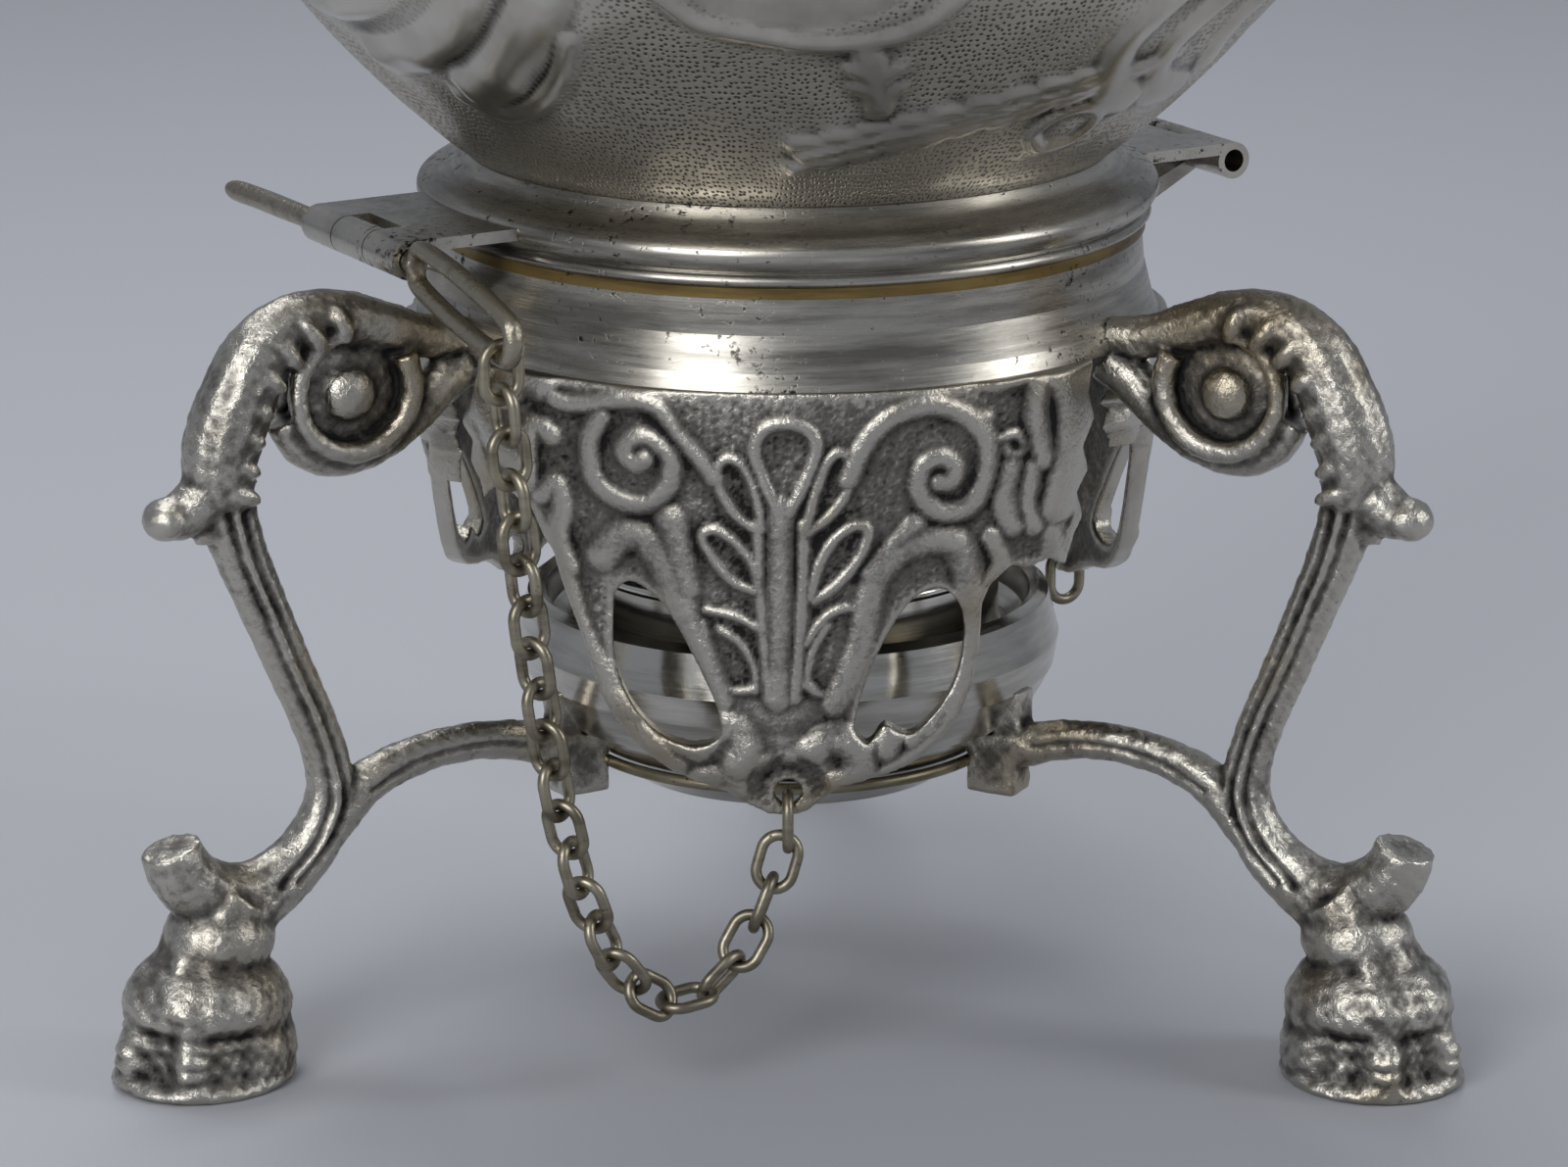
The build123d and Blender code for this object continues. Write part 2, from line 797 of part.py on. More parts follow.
def make_handle_lug():
    """Post soldered to the shoulder, with the eye that the handle's arm swings on."""
    eye_x = handle_pivot_x - eye_gap / 2 - lug_eye_width / 2
    eye = rod((eye_x, 0, handle_pivot_z), (1, 0, 0), eye_r, lug_eye_width)
    outer = handle_pivot_x - eye_gap / 2
    foot = profile(Polyline(
        (outer - lug_eye_width, handle_pivot_z),
        (outer, handle_pivot_z),
        (outer, handle_pivot_z - eye_r),
        (outer - 1.0, shoulder_z - 3.0),
        (outer - 14.0, shoulder_z - 3.0),
        (outer - 13.0, shoulder_z + 5.0),
        close=True,
    ))
    post = extrude(foot, eye_r - 0.8, both=True)
    return largest((eye + post) - handle_bore(handle_pin_r) - body_envelope())


def make_handle_pin():
    left = handle_pivot_x - eye_gap / 2 - lug_eye_width
    right = handle_pivot_x + eye_gap / 2 + eye_width
    head_gap = eye_gap
    shaft_length = right - left + head_gap
    shaft = rod((left + shaft_length / 2, 0, handle_pivot_z), (1, 0, 0), handle_pin_r, shaft_length)
    head_x = right + head_gap + pin_head_width / 2
    return shaft + rod((head_x, 0, handle_pivot_z), (1, 0, 0), pin_head_r, pin_head_width)


def arm_path():
    """Centre line of one handle arm, from its eye up and over to the grip."""
    eye_x = handle_pivot_x + eye_gap / 2 + eye_width / 2
    half_grip = grip_length / 2 + insulator_width
    rise = handle_top_z - handle_pivot_z
    return Plane.XZ * Spline(
        (eye_x, handle_pivot_z + eye_r * 0.6),
        (eye_x + 5.0, handle_pivot_z + rise * 0.3),
        (eye_x - 1.0, handle_pivot_z + rise * 0.62),
        (eye_x - 16.0, handle_pivot_z + rise * 0.9),
        (half_grip, handle_top_z),
        tangents=((0.25, 1.0), (-1.0, 0.0)),
    )


def make_handle_arm():
    path = arm_path()
    section = Plane(origin=path @ 0, z_dir=path % 0) * Circle(arm_r)
    arm = sweep(section, path=path)
    eye = rod((handle_pivot_x + (eye_gap + eye_width) / 2, 0, handle_pivot_z), (1, 0, 0), eye_r, eye_width)
    half_grip = grip_length / 2 + insulator_width
    ferrule = rod((half_grip + 2.0, 0, handle_top_z), (1, 0, 0), grip_end_r, 4.0)
    inside = Pos(handle_pivot_x + eye_gap / 2 - eye_r, 0, handle_pivot_z) * Box(2 * eye_r, 8 * eye_r, 8 * eye_r)
    outer_face = handle_pivot_x + eye_gap / 2 + eye_width
    head_room = rod((outer_face + 5.0, 0, handle_pivot_z), (1, 0, 0), pin_head_r + eye_gap, 10.0)
    return largest((arm + eye + ferrule) - handle_bore(handle_pin_r + handle_pin_clearance) - inside - head_room)


def make_insulator():
    disc = rod(((grip_length + insulator_width) / 2, 0, handle_top_z), (1, 0, 0), insulator_r, insulator_width)
    return fillet(disc.edges(), insulator_width * 0.3)


def make_grip():
    half = grip_length / 2
    section = profile(
        Polyline((-half, handle_top_z), (-half, handle_top_z + grip_end_r)),
        Spline(
            (-half, handle_top_z + grip_end_r),
            (-half * 0.8, handle_top_z + grip_end_r * 0.9),
            (-half * 0.4, handle_top_z + grip_r * 0.93),
            (0, handle_top_z + grip_r),
            (half * 0.4, handle_top_z + grip_r * 0.93),
            (half * 0.8, handle_top_z + grip_end_r * 0.9),
            (half, handle_top_z + grip_end_r),
        ),
        Polyline((half, handle_top_z + grip_end_r), (half, handle_top_z), (-half, handle_top_z)),
    )
    return revolve(section, Axis((0, 0, handle_top_z), (1, 0, 0)))


# Front hinge pin with its flat loop, and the chain that keeps it

def loop_centre():
    tilt = math.radians(loop_tilt)
    start_y = -hinge_width / 2 - 2.0
    half = loop_length / 2 - loop_strip
    return -hinge_r, start_y - half * math.cos(tilt), hinge_z - half * math.sin(tilt)


def make_front_pin():
    start = -hinge_width / 2 - 3.5
    end = hinge_width / 2 + pin_tip_reach
    shaft = rod((-hinge_r, (start + end) / 2, hinge_z), (0, 1, 0), pin_r, end - start)
    tip = Pos(-hinge_r, end, hinge_z) * Sphere(pin_r)
    x, y, z = loop_centre()
    ring = SlotOverall(loop_length, loop_height) - SlotOverall(
        loop_length - 2 * loop_strip, loop_height - 2 * loop_strip)
    loop_plane = Plane(origin=(x, y, z), x_dir=(0, math.cos(math.radians(loop_tilt)),
                                               math.sin(math.radians(loop_tilt))), z_dir=(1, 0, 0))
    loop = extrude(loop_plane * ring, loop_thickness / 2, both=True)
    return shaft + tip + loop


def make_link():
    """One oval link of round wire, its length along Z and its width along X, centred on the origin."""
    straight = link_length - link_width
    bend_r = link_width / 2 - link_wire_r
    rails = [Pos(side * bend_r, 0, 0) * Cylinder(link_wire_r, straight) for side in (-1, 1)]
    link = rails[0] + rails[1]
    for side in (-1, 1):
        ring = Rot(90, 0, 0) * Torus(bend_r, link_wire_r)
        half_space = Pos(0, 0, side * link_width) * Box(3 * link_width, 3 * link_width, 2 * link_width)
        link = link + Pos(0, 0, side * straight / 2) * (ring & half_space)
    return link


def catenary(start, end, length):
    """A function that gives the point and direction at a distance along a hanging chain."""
    across = math.hypot(end[0] - start[0], end[1] - start[1])
    drop = end[2] - start[2]
    target = math.sqrt(length * length - drop * drop)
    low, high = 0.5, 500.0
    for _ in range(80):
        middle = (low + high) / 2
        if 2 * middle * math.sinh(across / (2 * middle)) > target:
            low = middle
        else:
            high = middle
    a = (low + high) / 2
    lowest = across / 2 - a * math.asinh(drop / (2 * a * math.sinh(across / (2 * a))))
    begin = a * math.sinh(-lowest / a)
    unit = ((end[0] - start[0]) / across, (end[1] - start[1]) / across)

    def at(distance):
        x = lowest + a * math.asinh((begin + distance) / a)
        z = start[2] + a * (math.cosh((x - lowest) / a) - math.cosh(-lowest / a))
        slope = math.sinh((x - lowest) / a)
        level = 1 / math.sqrt(1 + slope * slope)
        point = Vector(start[0] + unit[0] * x, start[1] + unit[1] * x, z)
        return point, Vector(unit[0] * level, unit[1] * level, slope * level)

    return at


def bend_room(thickness):
    """How much further a link's bend must stand off a plate of a thickness that it straddles."""
    inner_r = link_width / 2 - 2 * link_wire_r
    return inner_r - math.sqrt(inner_r * inner_r - thickness * thickness / 4)


def link_in_tip_hole(apron_name):
    """Radius and height of the centre of a link that hangs in an apron's tip hole."""
    drop = apron_drops[apron_name]
    share = (drop - tip_hole_up) / (drop + 1.0)
    tip_r = apron_top_r - apron_foot_in * share + apron_thickness / 2
    hole_z = ring_bottom_z - drop + tip_hole_up
    slant = apron_thickness * apron_foot_in / drop
    wire_z = hole_z - tip_hole_r + link_wire_r + tip_slack + bend_room(apron_thickness + 2 * slant)
    return tip_r, wire_z - link_length / 2 + link_wire_r


def chain_ends():
    """Centres of the first link, in the pin's loop, and of the last one, in the apron's tip hole."""
    tilt = math.radians(loop_tilt)
    x, y, z = loop_centre()
    along = loop_length / 2 - loop_height / 2
    strip_y = y - along * math.cos(tilt) + (loop_height / 2 - loop_strip / 2) * math.sin(tilt)
    strip_z = z - along * math.sin(tilt) - (loop_height / 2 - loop_strip / 2) * math.cos(tilt)
    inner_half = link_length / 2 - 2 * link_wire_r
    first = (x, strip_y, strip_z + loop_strip / 2 + link_slack + bend_room(loop_thickness) - inner_half)
    angle = math.radians(apron_angles["apron_left"])
    tip_r, last_z = link_in_tip_hole("apron_left")
    return first, (tip_r * math.cos(angle), tip_r * math.sin(angle), last_z)


def make_front_chain():
    first, last = chain_ends()
    pitch = link_length - 4 * link_wire_r - link_slack
    at = catenary(first, last, pitch * (chain_links - 1))
    link = make_link()
    hole_angle = math.radians(apron_angles["apron_left"])
    last_face = Vector(-math.sin(hole_angle), math.cos(hole_angle), 0)
    links = []
    for i in range(chain_links):
        point, direction = at(i * pitch)
        if i == 0:
            direction = Vector(0, 0, -1)
        if i == chain_links - 1:
            direction = Vector(0, 0, 1)
        share = i / (chain_links - 1)
        face = Vector(0, 1, 0) * (1 - share) + last_face * -1 * share
        if i % 2 == 1:
            face = face.cross(direction)
        side = face.cross(direction).normalized()
        place = Plane(origin=point, x_dir=side, z_dir=direction)
        links.append(place * link)
    return Compound(children=[Compound(link.solids()) for link in links])


def make_rear_link():
    tip_r, link_z = link_in_tip_hole("apron_rear")
    return Pos(tip_r, 0, link_z) * make_link()


def build():
    nodes = {}
    nodes["stand_ring"] = make_stand_ring()
    nodes["seat_ring"] = make_seat_ring()
    nodes["burner_hoop"] = Pos(0, 0, hoop_z) * Torus(hoop_r, hoop_wire_r)
    leg = make_leg()
    for name, angle in leg_angles.items():
        nodes[name] = Rot(0, 0, angle) * leg
    for name, angle in apron_angles.items():
        apron = Rot(0, 0, angle) * make_apron(apron_drops[name])
        for leg_name in leg_angles:
            apron = apron - nodes[leg_name]
        nodes[name] = largest(apron)
    strap = make_strap()
    tab = make_tab()
    nodes["front_strap"] = Rot(0, 0, 180) * strap
    nodes["rear_strap"] = strap
    nodes["front_tab"] = Rot(0, 0, 180) * tab
    nodes["rear_tab"] = tab
    nodes["kettle_flange"] = make_flange()
    nodes["kettle_body"] = make_kettle_body()
    nodes["spout"] = make_spout()
    nodes["lid_bezel"] = make_bezel()
    nodes["lid_hinge_leaf"] = make_lid_leaf()
    nodes["lid_hinge_pin"] = make_lid_pin()
    nodes["lid"] = make_lid()
    nodes["finial"] = make_finial()
    nodes["finial_nut"] = make_finial_nut()
    lug = make_handle_lug()
    nodes["handle_lug_front"] = Rot(0, 0, 180) * lug
    nodes["handle_lug_rear"] = lug
    pin = make_handle_pin()
    nodes["handle_pin_front"] = Rot(0, 0, 180) * pin
    nodes["handle_pin_rear"] = pin
    arm = make_handle_arm()
    nodes["handle_arm_front"] = Rot(0, 0, 180) * arm
    nodes["handle_arm_rear"] = arm
    insulator = make_insulator()
    nodes["insulator_front"] = Rot(0, 0, 180) * insulator
    nodes["insulator_rear"] = insulator
    nodes["handle_grip"] = make_grip()
    nodes["front_pin"] = make_front_pin()
    nodes["front_chain"] = make_front_chain()
    nodes["rear_link"] = make_rear_link()
    nodes["burner_reservoir"] = make_reservoir()
    nodes["burner_collar"] = make_burner_collar()
    nodes["burner_cover"] = make_burner_cover()
    nodes["wick_tube"] = make_wick_tube()
    nodes["wick"] = make_wick()
    nodes["snuffer_cap"] = make_snuffer_cap()
    return nodes


nodes = build()
corners = [node.bounding_box() for node in nodes.values()]
low_x = min(box.min.X for box in corners)
high_x = max(box.max.X for box in corners)
low_y = min(box.min.Y for box in corners)
high_y = max(box.max.Y for box in corners)
low_z = min(box.min.Z for box in corners)
# The origin is under the middle of the whole part, so the stand's axis lies beside it.
shift = Pos(-(low_x + high_x) / 2, -(low_y + high_y) / 2, -low_z)
os.makedirs("parts", exist_ok=True)
for name, node in nodes.items():
    export_step(shift * node, f"parts/{name}.step")
print("stand axis at", shift.position, "whole size", high_x - low_x, high_y - low_y)
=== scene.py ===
import bpy
import json
import math
import numpy
from mathutils import Matrix, Vector

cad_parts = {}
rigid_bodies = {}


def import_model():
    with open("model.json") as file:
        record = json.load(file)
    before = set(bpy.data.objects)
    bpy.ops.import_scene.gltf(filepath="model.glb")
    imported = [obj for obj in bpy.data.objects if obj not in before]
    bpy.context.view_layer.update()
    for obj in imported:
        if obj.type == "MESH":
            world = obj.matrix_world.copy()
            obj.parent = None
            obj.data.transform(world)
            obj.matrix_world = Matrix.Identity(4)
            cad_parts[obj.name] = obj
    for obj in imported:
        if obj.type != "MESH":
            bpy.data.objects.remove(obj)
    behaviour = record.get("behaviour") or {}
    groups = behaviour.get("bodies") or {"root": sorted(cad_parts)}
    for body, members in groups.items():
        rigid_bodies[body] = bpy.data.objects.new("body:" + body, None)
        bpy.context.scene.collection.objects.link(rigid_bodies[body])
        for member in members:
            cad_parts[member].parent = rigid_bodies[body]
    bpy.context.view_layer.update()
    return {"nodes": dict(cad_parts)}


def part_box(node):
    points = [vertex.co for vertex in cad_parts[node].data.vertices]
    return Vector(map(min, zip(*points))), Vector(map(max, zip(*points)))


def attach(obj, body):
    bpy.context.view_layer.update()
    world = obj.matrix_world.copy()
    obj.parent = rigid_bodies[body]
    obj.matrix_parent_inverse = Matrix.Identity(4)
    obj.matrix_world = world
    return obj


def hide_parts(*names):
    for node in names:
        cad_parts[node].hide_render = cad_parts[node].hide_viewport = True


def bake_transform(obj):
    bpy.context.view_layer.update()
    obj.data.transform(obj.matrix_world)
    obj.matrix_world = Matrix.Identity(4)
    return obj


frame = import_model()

# The view of the photograph: a long lens, a little above the stand, that looks down on the front apron.
# The kettle's upper half is above the picture's edge, so the picture holds the stand and the burner.
stand_x = 0.02894
bpy.ops.object.select_all(action="DESELECT")
bpy.ops.object.camera_add(location=(-0.4452, -0.8212, 0.3396))
camera = bpy.context.object
camera.rotation_euler = (Vector((stand_x, 0, 0.0695)) - camera.location).to_track_quat("-Z", "Y").to_euler()
camera.data.lens = 130.5
camera.data.sensor_width = 36
camera.data.shift_x = -0.0025
bpy.context.scene.camera = camera
bpy.context.scene.view_settings.view_transform = "Standard"


# Table and light: a plain pale table top, one large soft lamp on the left, a weaker one on the right and one
# overhead, as round a small studio table. Bright metal shows mostly what stands round it.
def hex_colour(text):
    """An sRGB hex value as the linear colour that a shader takes."""
    parts = [int(text[i:i + 2], 16) / 255 for i in (1, 3, 5)]
    return [p / 12.92 if p <= 0.04045 else ((p + 0.055) / 1.055) ** 2.4 for p in parts] + [1.0]


def add_node(tree, kind, settings=None, **inputs):
    """Adds one node, sets its properties, and fills its inputs with values or links."""
    node = tree.nodes.new(kind)
    for name, value in (settings or {}).items():
        setattr(node, name, value)
    for name, value in inputs.items():
        key = int(name[1:]) if name[0] == "i" and name[1:].isdigit() else name.replace("_", " ")
        if isinstance(value, bpy.types.NodeSocket):
            tree.links.new(value, node.inputs[key])
        else:
            node.inputs[key].default_value = value
    return node


def ramp_stops(ramp, stops):
    """Sets a colour ramp's stops from (position, colour) pairs."""
    elements = ramp.color_ramp.elements
    while len(elements) < len(stops):
        elements.new(0.5)
    for element, (position, colour) in zip(elements, stops):
        element.position = position
        element.color = colour if not isinstance(colour, str) else hex_colour(colour)
    return ramp.outputs["Color"]


def new_material(name):
    """An empty material with its node tree cleared but for the output."""
    material = bpy.data.materials.new(name)
    material.use_nodes = True
    tree = material.node_tree
    for node in list(tree.nodes):
        tree.nodes.remove(node)
    output = tree.nodes.new("ShaderNodeOutputMaterial")
    return material, tree, output


bpy.ops.mesh.primitive_plane_add(size=8, location=(0, 1.5, 0))
floor = bpy.context.object
floor.name = "table_top"
bpy.ops.object.transform_apply(location=True, rotation=True, scale=True)
painted_table, tree, output = new_material("matt painted table")
paint = add_node(tree, "ShaderNodeBsdfPrincipled", Base_Color=hex_colour("#aeb0b6"), Roughness=0.75)
tree.links.new(paint.outputs[0], output.inputs[0])
floor.data.materials.append(painted_table)

world = bpy.data.worlds.new("studio")
bpy.context.scene.world = world
world.use_nodes = True
world.node_tree.nodes["Background"].inputs[0].default_value = hex_colour("#9fa3ab")
world.node_tree.nodes["Background"].inputs[1].default_value = 0.75
for name, place, size, power in (
    ("left soft lamp", (-1.15, -0.75, 0.85), (0.7, 0.9), 11.0),
    ("right soft lamp", (0.95, -0.95, 0.75), (0.4, 0.8), 5.0),
    ("overhead lamp", (0.1, 0.5, 1.3), (0.8, 0.5), 9.0),
):
    bpy.ops.object.light_add(type="AREA", location=place)
    lamp = bpy.context.object
    lamp.name = name
    lamp.rotation_euler = (Vector((stand_x, 0, 0.12)) - lamp.location).to_track_quat("-Z", "Y").to_euler()
    lamp.data.shape = "RECTANGLE"
    lamp.data.size = size[0]
    lamp.data.size_y = size[1]
    lamp.data.energy = power


# Spun pieces: the stand's ring, the kettle's base collar and the fittings are spun brass, silver plated and
# polished. Years of wiping leave fine scratches that run round, dark specks in the plate and yellow at the edges.
def plate_material(name, bright, dull, speck, roughness, speck_size=0.0016, speck_limit=0.66, round_marks=True):
    material, tree, output = new_material(name)
    place = add_node(tree, "ShaderNodeTexCoord").outputs["Object"]
    stretched = add_node(tree, "ShaderNodeMapping", Vector=place, Scale=(1, 1, 9 if round_marks else 1)).outputs[0]
    clouds = add_node(tree, "ShaderNodeTexNoise", Vector=stretched, Scale=26, Detail=6, Roughness=0.62)
    base = ramp_stops(add_node(tree, "ShaderNodeValToRGB", Fac=clouds.outputs["Fac"]),
                      [(0.36, dull), (0.58, bright)])
    grains = add_node(tree, "ShaderNodeTexNoise", Vector=place, Scale=1 / speck_size, Detail=4, Roughness=0.7)
    patches = add_node(tree, "ShaderNodeTexNoise", Vector=place, Scale=38, Detail=3)
    both = add_node(tree, "ShaderNodeMath", {"operation": "MULTIPLY_ADD"}, i0=patches.outputs["Fac"], i1=0.45,
                    i2=grains.outputs["Fac"])
    specks = add_node(tree, "ShaderNodeMapRange", Value=both.outputs[0], i1=speck_limit + 0.16, i2=speck_limit + 0.26)
    colour = add_node(tree, "ShaderNodeMix", {"data_type": "RGBA"}, i0=specks.outputs[0], i6=base,
                      i7=hex_colour(speck))
    fine = (60, 60, 2600) if round_marks else (400, 400, 400)
    scratches = add_node(tree, "ShaderNodeTexNoise",
                         Vector=add_node(tree, "ShaderNodeMapping", Vector=place, Scale=fine).outputs[0],
                         Scale=1.0, Detail=5, Roughness=0.8)
    rough = add_node(tree, "ShaderNodeMapRange", Value=scratches.outputs["Fac"], i1=0.3, i2=0.75,
                     i3=roughness, i4=roughness + 0.2)
    rough = add_node(tree, "ShaderNodeMath", {"operation": "MULTIPLY_ADD"}, i0=specks.outputs[0], i1=0.35,
                     i2=rough.outputs[0])
    dents = add_node(tree, "ShaderNodeTexNoise", Vector=place, Scale=55, Detail=2)
    height = add_node(tree, "ShaderNodeMath", {"operation": "MULTIPLY_ADD"}, i0=specks.outputs[0], i1=-0.25,
                      i2=dents.outputs["Fac"])
    height = add_node(tree, "ShaderNodeMath", {"operation": "MULTIPLY_ADD"}, i0=scratches.outputs["Fac"], i1=0.04,
                      i2=height.outputs[0])
    bump = add_node(tree, "ShaderNodeBump", Height=height.outputs[0], Strength=0.35, Distance=0.0006)
    metal = add_node(tree, "ShaderNodeBsdfPrincipled", Base_Color=colour.outputs[2], Metallic=1.0,
                     Roughness=rough.outputs[0], Normal=bump.outputs[0])
    tree.links.new(metal.outputs[0], output.inputs[0])
    return material


def dress(node, material):
    """Gives a CAD node its own material and smooth shading."""
    piece = frame["nodes"][node]
    piece.data.materials.clear()
    piece.data.materials.append(material)
    bpy.ops.object.select_all(action="DESELECT")
    piece.select_set(True)
    bpy.context.view_layer.objects.active = piece
    bpy.ops.object.shade_smooth_by_angle(angle=math.radians(32))
    return piece


spun_silver_plate = plate_material("spun silver plate", "#b9b5ac", "#807c75", "#2c2723", 0.2)
worn_brass = plate_material("worn brass strip", "#8f7a4c", "#5e4f33", "#241d16", 0.34)
for node in ("stand_ring", "kettle_flange", "lid_bezel", "finial", "lid"):
    dress(node, spun_silver_plate)
flat_silver_plate = plate_material("hand finished silver plate", "#bdb9b0", "#86827a", "#2c2723", 0.22,
                                   round_marks=False)
for node in ("front_tab", "rear_tab", "front_strap", "rear_strap", "lid_hinge_leaf", "handle_lug_front",
             "handle_lug_rear", "handle_arm_front", "handle_arm_rear"):
    dress(node, flat_silver_plate)
for node in ("seat_ring", "lid_hinge_pin", "handle_pin_front", "handle_pin_rear", "finial_nut"):
    dress(node, worn_brass)
hoop_wire = plate_material("plated hoop wire", "#a79f88", "#6d6553", "#2b241b", 0.26)
dress("burner_hoop", hoop_wire)


# Spirit burner: a spun reservoir with a dished top, a collar with a bead at each end, a domed cover, a wick tube
# with its cotton wick and a snuffer cap. It was replated lately, so it is bright and hardly scratched.
burner_plate = plate_material("mirror bright silver plate", "#cfccc5", "#a9a59c", "#57514a", 0.07, speck_limit=0.86)
for node in ("burner_reservoir", "burner_collar", "burner_cover", "snuffer_cap"):
    dress(node, burner_plate)
dress("wick_tube", worn_brass)
cotton, tree, output = new_material("woven cotton wick")
place = add_node(tree, "ShaderNodeTexCoord").outputs["Object"]
threads = add_node(tree, "ShaderNodeTexWave", {"wave_type": "BANDS", "bands_direction": "DIAGONAL"}, Vector=place,
                   Scale=320, Distortion=2.0)
fibre = ramp_stops(add_node(tree, "ShaderNodeValToRGB", Fac=threads.outputs["Fac"]),
                   [(0.2, "#8d8468"), (0.8, "#d8d0b8")])
bump = add_node(tree, "ShaderNodeBump", Height=threads.outputs["Fac"], Strength=0.6, Distance=0.0004)
cloth = add_node(tree, "ShaderNodeBsdfPrincipled", Base_Color=fibre, Roughness=0.9, Normal=bump.outputs[0])
tree.links.new(cloth.outputs[0], output.inputs[0])
dress("wick", cotton)


# Hinge pin and chains: a drawn nickel-brass pin with a flat cast loop, and a chain of soldered wire links.
# The metal is dull, with darker patches where the links rub and old polish stays.
nickel_brass = plate_material("dull nickel brass", "#a39c8a", "#777061", "#2f2a22", 0.3, 0.0009, 0.74)
dress("rear_link", nickel_brass)

chain = frame["nodes"]["front_chain"]
bpy.ops.object.select_all(action="DESELECT")
links_mesh = bpy.data.objects.new("chain_links", chain.data.copy())
bpy.context.scene.collection.objects.link(links_mesh)
links_mesh.select_set(True)
bpy.context.view_layer.objects.active = links_mesh
bpy.ops.object.mode_set(mode="EDIT")
bpy.ops.mesh.select_all(action="SELECT")
bpy.ops.mesh.remove_doubles(threshold=0.000002)
bpy.ops.mesh.separate(type="LOOSE")
bpy.ops.object.mode_set(mode="OBJECT")
links = [piece for piece in bpy.data.objects if piece.name.startswith("chain_links")]


def middle_of(piece):
    points = [v.co for v in piece.data.vertices]
    return sum(points, Vector()) / len(points)


# From the apron's tip, each next link is the nearest one not yet taken, up to the link in the pin's loop.
apron_low, apron_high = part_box("apron_left")
here = Vector(((apron_low.x + apron_high.x) / 2, (apron_low.y + apron_high.y) / 2, apron_low.z))
remaining = list(links)
in_order = []
while remaining:
    nearest = min(remaining, key=lambda piece: (middle_of(piece) - here).length)
    remaining.remove(nearest)
    in_order.append(nearest)
    here = middle_of(nearest)
for number, link in enumerate(in_order):
    link.name = f"chain_link_{number + 1}"
    link.data.materials.clear()
    link.data.materials.append(nickel_brass)
    link.data.shade_smooth()
    share = min(max(number / (len(in_order) - 1), 0.0), 1.0)
    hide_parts("front_chain")
    if share == 0.0:
        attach(link, "stand")
    elif share == 1.0:
        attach(link, "front_pin")
    else:
        middle = middle_of(link)
        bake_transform(link)

# Cast aprons: silver plated brass plates cast with a palmette, scrolls and foliage in relief, pierced by two
# openings, bent round the stand and soldered under the ring. The ground is black with old polish and oxide,
# and the high points are rubbed bright.
apron_top = 0.119
apron_thickness = 0.0022
cone_top_r = 0.0619
cone_foot_in = 0.0065


def raised_height(points, strokes):
    """Height at each flat point of round-backed strokes, each (half width, height, [(x, y), ...]) in mm."""
    points = points * 1000
    total = numpy.zeros(len(points))
    for half_width, height, path in strokes:
        nearest = numpy.full(len(points), 1e9)
        for (ax, ay), (bx, by) in zip(path[:-1], path[1:]):
            along = numpy.array((bx - ax, by - ay))
            offset = points - numpy.array((ax, ay))
            share = numpy.clip(offset @ along / (along @ along), 0, 1)
            nearest = numpy.minimum(nearest, numpy.hypot(*(offset - share[:, None] * along).T))
        crown = numpy.clip(1 - (nearest / (1.25 * half_width)) ** 2, 0, 1) ** 0.8
        rise = height * numpy.maximum(crown, 0.42 * numpy.exp(-(nearest / (2.1 * half_width)) ** 2))
        total = numpy.where(numpy.abs(rise) > numpy.abs(total), rise, total)
    return total / 1000


def smooth_path(path, steps=5):
    """A rounder copy of a path: points on the curve that runs through the given ones."""
    ends = [path[0]] + list(path) + [path[-1]]
    found = []
    for i in range(1, len(ends) - 2):
        p0, p1, p2, p3 = (numpy.array(ends[j], float) for j in (i - 1, i, i + 1, i + 2))
        for k in range(steps):
            t = k / steps
            found.append(0.5 * (2 * p1 + (p2 - p0) * t + (2 * p0 - 5 * p1 + 4 * p2 - p3) * t * t
                                + (3 * p1 - p0 - 3 * p2 + p3) * t ** 3))
    found.append(numpy.array(ends[-1], float))
    return [tuple(point) for point in found]


def read_points(mesh):
    points = numpy.empty(len(mesh.vertices) * 3)
    mesh.vertices.foreach_get("co", points)
    return points.reshape(-1, 3)


def write_points(mesh, points):
    mesh.vertices.foreach_set("co", points.ravel())
    mesh.update()


def store_recess(piece, rounds, depth):
    """Stores how deep each point lies below its surroundings, from 0 on a high point to 1 in a recess."""
    mesh = piece.data
    edges = numpy.empty(len(mesh.edges) * 2, int)
    mesh.edges.foreach_get("vertices", edges)
    first, second = edges.reshape(-1, 2).T
    points = read_points(mesh)
    normals = numpy.empty(len(points) * 3)
    mesh.vertex_normals.foreach_get("vector", normals)
    count = numpy.bincount(first, minlength=len(points)) + numpy.bincount(second, minlength=len(points))
    soft = points.copy()
    for _ in range(rounds):
        total = numpy.empty_like(soft)
        for axis in range(3):
            total[:, axis] = (numpy.bincount(first, soft[second, axis], len(points))
                              + numpy.bincount(second, soft[first, axis], len(points)))
        soft = total / numpy.maximum(count, 1)[:, None]
    below = ((soft - points) * normals.reshape(-1, 3)).sum(axis=1)
    recess = numpy.clip(0.5 + below / (2 * depth), 0, 1)
    attribute = mesh.attributes.new("recess", "FLOAT", "POINT")
    attribute.data.foreach_set("value", recess)


